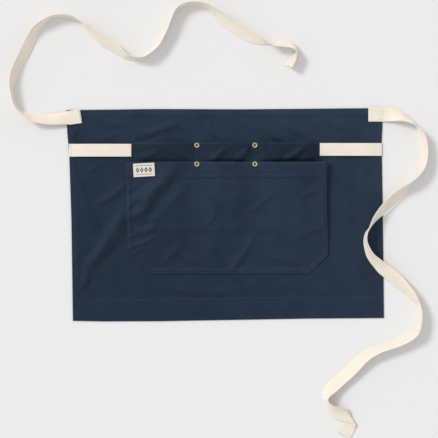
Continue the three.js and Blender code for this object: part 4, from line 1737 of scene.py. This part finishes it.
@dataclass
class Tie:
    """A long flat webbing tie, sewn to a top corner and lying loose in turns and twists."""

    form: ApronForm
    side: Side
    route: tuple[tuple[float, ...], ...]
    curls: tuple[tuple[float, float], ...]
    gather: float = 0.0
    width: float = 25.4
    thickness: float = 1.5
    sewn_thickness: float = 2.4
    sewn_length: float = 25.0
    settle_length: float = 30.0
    gather_length: float = 70.0
    gather_bulge: float = 0.75
    fold_stretch: float = 0.36
    sway: float = 0.25
    sway_length: float = 37.0
    steps: int = 7
    edge_rub: float = 0.4
    stitch_in: float = 2.6
    stitch_start: float = 2.4
    shares: tuple[float, ...] = (
        1.0, 0.97, 0.9, 0.8, 0.55, 0.28, 0.0, -0.28, -0.55, -0.8, -0.9, -0.97, -1.0,
    )
    bulk_at: tuple[float, ...] = (0.0, 0.8, 0.88, 0.95, 1.0)
    bulk: tuple[float, ...] = (1.0, 0.96, 1.04, 0.85, 0.35)

    def seat(self, x: Array, y: Array) -> Array:
        """Height of what the tie lies on, easing down to the floor beyond the panel's edge.

        Args:
            x: places from left to right, in millimetres.
            y: places from low to high, in millimetres.

        Returns:
            Heights in millimetres.
        """
        panel = self.form.panel
        beyond = np.maximum.reduce([abs(x) - panel.width / 2, abs(y) - panel.height / 2, 0 * x])
        return (self.form.hem + self.form.gap) * (1 - ease((beyond - self.width / 2) / self.settle_length))

    def stations(self) -> tuple[Array, Array]:
        """Route rows between the given ones, with slopes taken over the rows on either side.

        Returns:
            The rows (x, y, roll, lift, skew) and their places along the route.
        """
        rows = np.array([tuple(row) + (0.0,) * (5 - len(row)) for row in self.route], dtype=float)
        places = np.concatenate([[0.0], np.cumsum(np.hypot(*np.diff(rows[:, :2], axis=0).T))])
        count = len(rows)
        before, after = np.maximum(np.arange(count) - 1, 0), np.minimum(np.arange(count) + 1, count - 1)
        slopes = (rows[after] - rows[before]) / (places[after] - places[before])[:, None]
        found, where = [rows[0]], [0.0]
        for k in range(count - 1):
            span = places[k + 1] - places[k]
            for step in range(1, self.steps + 1):
                s = step / self.steps
                found.append(
                    (2 * s**3 - 3 * s**2 + 1) * rows[k] + (s**3 - 2 * s**2 + s) * span * slopes[k]
                    + (3 * s**2 - 2 * s**3) * rows[k + 1] + (s**3 - s**2) * span * slopes[k + 1]
                )
                where.append(places[k] + s * span)
        return np.array(found), np.array(where)

    def sections(self, rows: Array, where: Array) -> tuple[Array, Array, Array]:
        """Places the webbing's section at each row of the route.

        Args:
            rows: the rows (x, y, roll, lift, skew).
            where: their places along the route.

        Returns:
            The middle line, the corners of each section, and their distances from the middle line.
        """
        x, y = rows[:, 0], rows[:, 1]
        lean, skew = np.radians(rows[:, 2]), np.radians(rows[:, 4])
        heading = np.arctan2(np.gradient(y), np.gradient(x)) + math.pi / 2 + skew
        sewn = 1 - ease((where - self.sewn_length) / 1.5)
        thick = self.thickness + (self.sewn_thickness - self.thickness) * sewn
        drawn = self.gather * (1 - sewn) * (1 - ease((where - self.sewn_length) / self.gather_length))
        half = self.width / 2 * (1 + self.fold_stretch * np.sin(skew) ** 2) * (1 - drawn)
        rest = self.seat(x, y) + half * abs(np.sin(lean)) + thick / 2 * abs(np.cos(lean))
        centre = np.stack([x, y, rest + rows[:, 3]], axis=1)
        level = np.cos(lean)
        across = np.stack([level * np.cos(heading), level * np.sin(heading), np.sin(lean)], axis=1)
        face = np.cross(np.gradient(centre, axis=0), across)
        face /= np.linalg.norm(face, axis=1, keepdims=True)
        shares = np.array(self.shares)
        bulk = np.interp(abs(shares), self.bulk_at, self.bulk)[None, :] / 2 * thick[:, None]
        bulge = np.interp(np.arange(len(where)) / self.steps, *zip(*self.curls))
        bulge = bulge + self.sway * np.sin(where / self.sway_length)
        bulge = bulge + drawn * self.width * self.gather_bulge
        cup = bulge[:, None] * (1 - shares**2)[None, :]
        sideways = half[:, None] * np.concatenate([shares, shares[::-1]])
        outward = np.concatenate([cup + bulk, (cup - bulk)[:, ::-1]], axis=1)
        points = centre[:, None] + across[:, None] * sideways[..., None]
        points = points + face[:, None] * outward[..., None]
        points[..., 2] += np.maximum(0.0, -points[..., 2].min(axis=1))[:, None]
        return centre, points, sideways

    def skin(self, count: int, ring: int) -> Array:
        """Faces round the sections, with strips that close both ends.

        Args:
            count: number of sections.
            ring: number of corners in a section.

        Returns:
            Four corner numbers for each face.
        """
        first = np.arange(count - 1)[:, None] * ring
        start, turn = first + np.arange(ring)[None, :], first + np.roll(np.arange(ring), -1)[None, :]
        sides = np.stack([start, turn, turn + ring, start + ring], axis=2).reshape(-1, 4)
        near = np.array([[k, ring - 1 - k, ring - 2 - k, k + 1] for k in range(ring // 2 - 1)])
        return np.concatenate([sides, near, near[:, ::-1] + (count - 1) * ring])

    def build(self, stitching: Stitching) -> None:
        """Args:
            stitching: makes the rows of stitches.
        """
        word = self.side.word
        share = 0.5 + self.side.value / 2
        corner = [float(part) for part in self.form.panel_point(np.array(share), np.array(1.0))]
        rows, where = self.stations()
        rows[:, :2] += corner
        centre, points, sideways = self.sections(rows, where)
        count, ring = sideways.shape
        faces = self.skin(count, ring).tolist()
        tie = mesh_object(f"{word}_webbing_tie", points.reshape(-1, 3), faces, WEBBING)
        write_map(tie.data, np.stack([np.repeat(where, ring), sideways.ravel()], axis=1))
        edges = np.array(self.shares + self.shares[::-1])
        write_rub(tie.data, np.tile(self.edge_rub * abs(edges) ** 8, count))
        settle(tie, Slot.WEBBING, f"{word}_tie")
        length = float(np.linalg.norm(np.diff(centre, axis=0), axis=1).sum()) * MM
        exit_at = centre[np.searchsorted(where, self.sewn_length)] * MM
        LOG.info("%s tie: %.3f m", word, length)
        self.sew(stitching, corner)

    def sew(self, stitching: Stitching, corner: Sequence[float]) -> None:
        """Sews the end to the panel in a box with two diagonals, which follows the tie's slant.

        Args:
            stitching: makes the rows of stitches.
            corner: the panel's corner, in millimetres.
        """
        start, turn = (np.array(row[:2], dtype=float) for row in self.route[:2])
        along = (turn - start) / np.linalg.norm(turn - start)
        side = np.array([-along[1], along[0]])
        height = self.form.hem + self.form.gap + self.sewn_thickness
        margin = self.width / 2 - self.stitch_in

        def level(x: Array, _y: Array) -> Array:
            """Top of the sewn end."""
            return 0 * x + height

        near, far = self.stitch_start, self.sewn_length - self.stitch_in
        a, b, c, d = (
            tuple(corner + start + along * distance + side * across)
            for distance, across in ((near, margin), (far, margin), (far, -margin), (near, -margin))
        )
        rows = [stitching.row(line, level) for line in ([a, b, c, d, a], [a, c], [b, d])]
        stitching.sew(f"{self.side.word}_tie_stitches", rows, CREAM_THREAD, Slot.WEBBING)


@dataclass
class Studio:
    """Camera straight above, one soft light from the upper left, an even sky and a pale floor."""

    field_mm: float = 792.8
    centre_mm: tuple[float, float] = (-11.4, -7.8)
    distance: float = 6.0
    sun_strength: float = 1.55
    sun_softness: float = 16.0
    sky_strength: float = 0.71
    sun_course: tuple[float, float, float] = (12.0, -8.5, -14.0)
    floor_size: float = 12.0
    floor_drop: float = 0.0002

    def build(self) -> None:
        """Makes the camera, the lights and the floor."""
        scene = bpy.context.scene
        lens = bpy.data.cameras.new("camera")
        lens.sensor_width = 36.0
        lens.lens = 36.0 * self.distance / (self.field_mm * MM)
        camera = bpy.data.objects.new("camera", lens)
        camera.location = (self.centre_mm[0] * MM, self.centre_mm[1] * MM, self.distance)
        scene.collection.objects.link(camera)
        scene.camera = camera
        lamp = bpy.data.lights.new("window_light", "SUN")
        lamp.energy = self.sun_strength
        lamp.angle = math.radians(self.sun_softness)
        light = bpy.data.objects.new("window_light", lamp)
        light.rotation_mode = "QUATERNION"
        light.rotation_quaternion = Vector(self.sun_course).to_track_quat("-Z", "Y")
        scene.collection.objects.link(light)
        world = bpy.data.worlds.new("even_sky")
        world.use_nodes = True
        sky = world.node_tree.nodes["Background"]
        sky.inputs["Color"].default_value = (1.0, 1.0, 1.0, 1.0)
        sky.inputs["Strength"].default_value = self.sky_strength
        scene.world = world
        scene.view_settings.view_transform = "Standard"
        bpy.ops.object.select_all(action="DESELECT")
        bpy.ops.mesh.primitive_plane_add(size=self.floor_size, location=(0, 0, -self.floor_drop))
        floor = bpy.context.object
        floor.name = "floor"
        bpy.ops.object.transform_apply(location=True, rotation=True, scale=True)
        floor.data.materials.append(FLOOR.material())


def main() -> None:
    """Builds the scene: camera and ties first, then the cloth, the small parts and the stitching."""
    logging.basicConfig(level=logging.INFO, format="%(message)s")
    form = ApronForm()
    Studio().build()
    stitching = Stitching()
    Tie(form, Side.LEFT, LEFT_ROUTE, LEFT_CURLS, gather=0.1).build(stitching)
    Tie(form, Side.RIGHT, RIGHT_ROUTE, RIGHT_CURLS).build(stitching)
    for piece in (Panel(form), RearPocket(form), FrontPocket(form)):
        piece.build()
        piece.sew(stitching)
    for side in Side:
        ToolLoop(form, side).build(stitching)
    Label(form).build(stitching)
    Rivets().build(form)


if __name__ == "__main__":
    main()
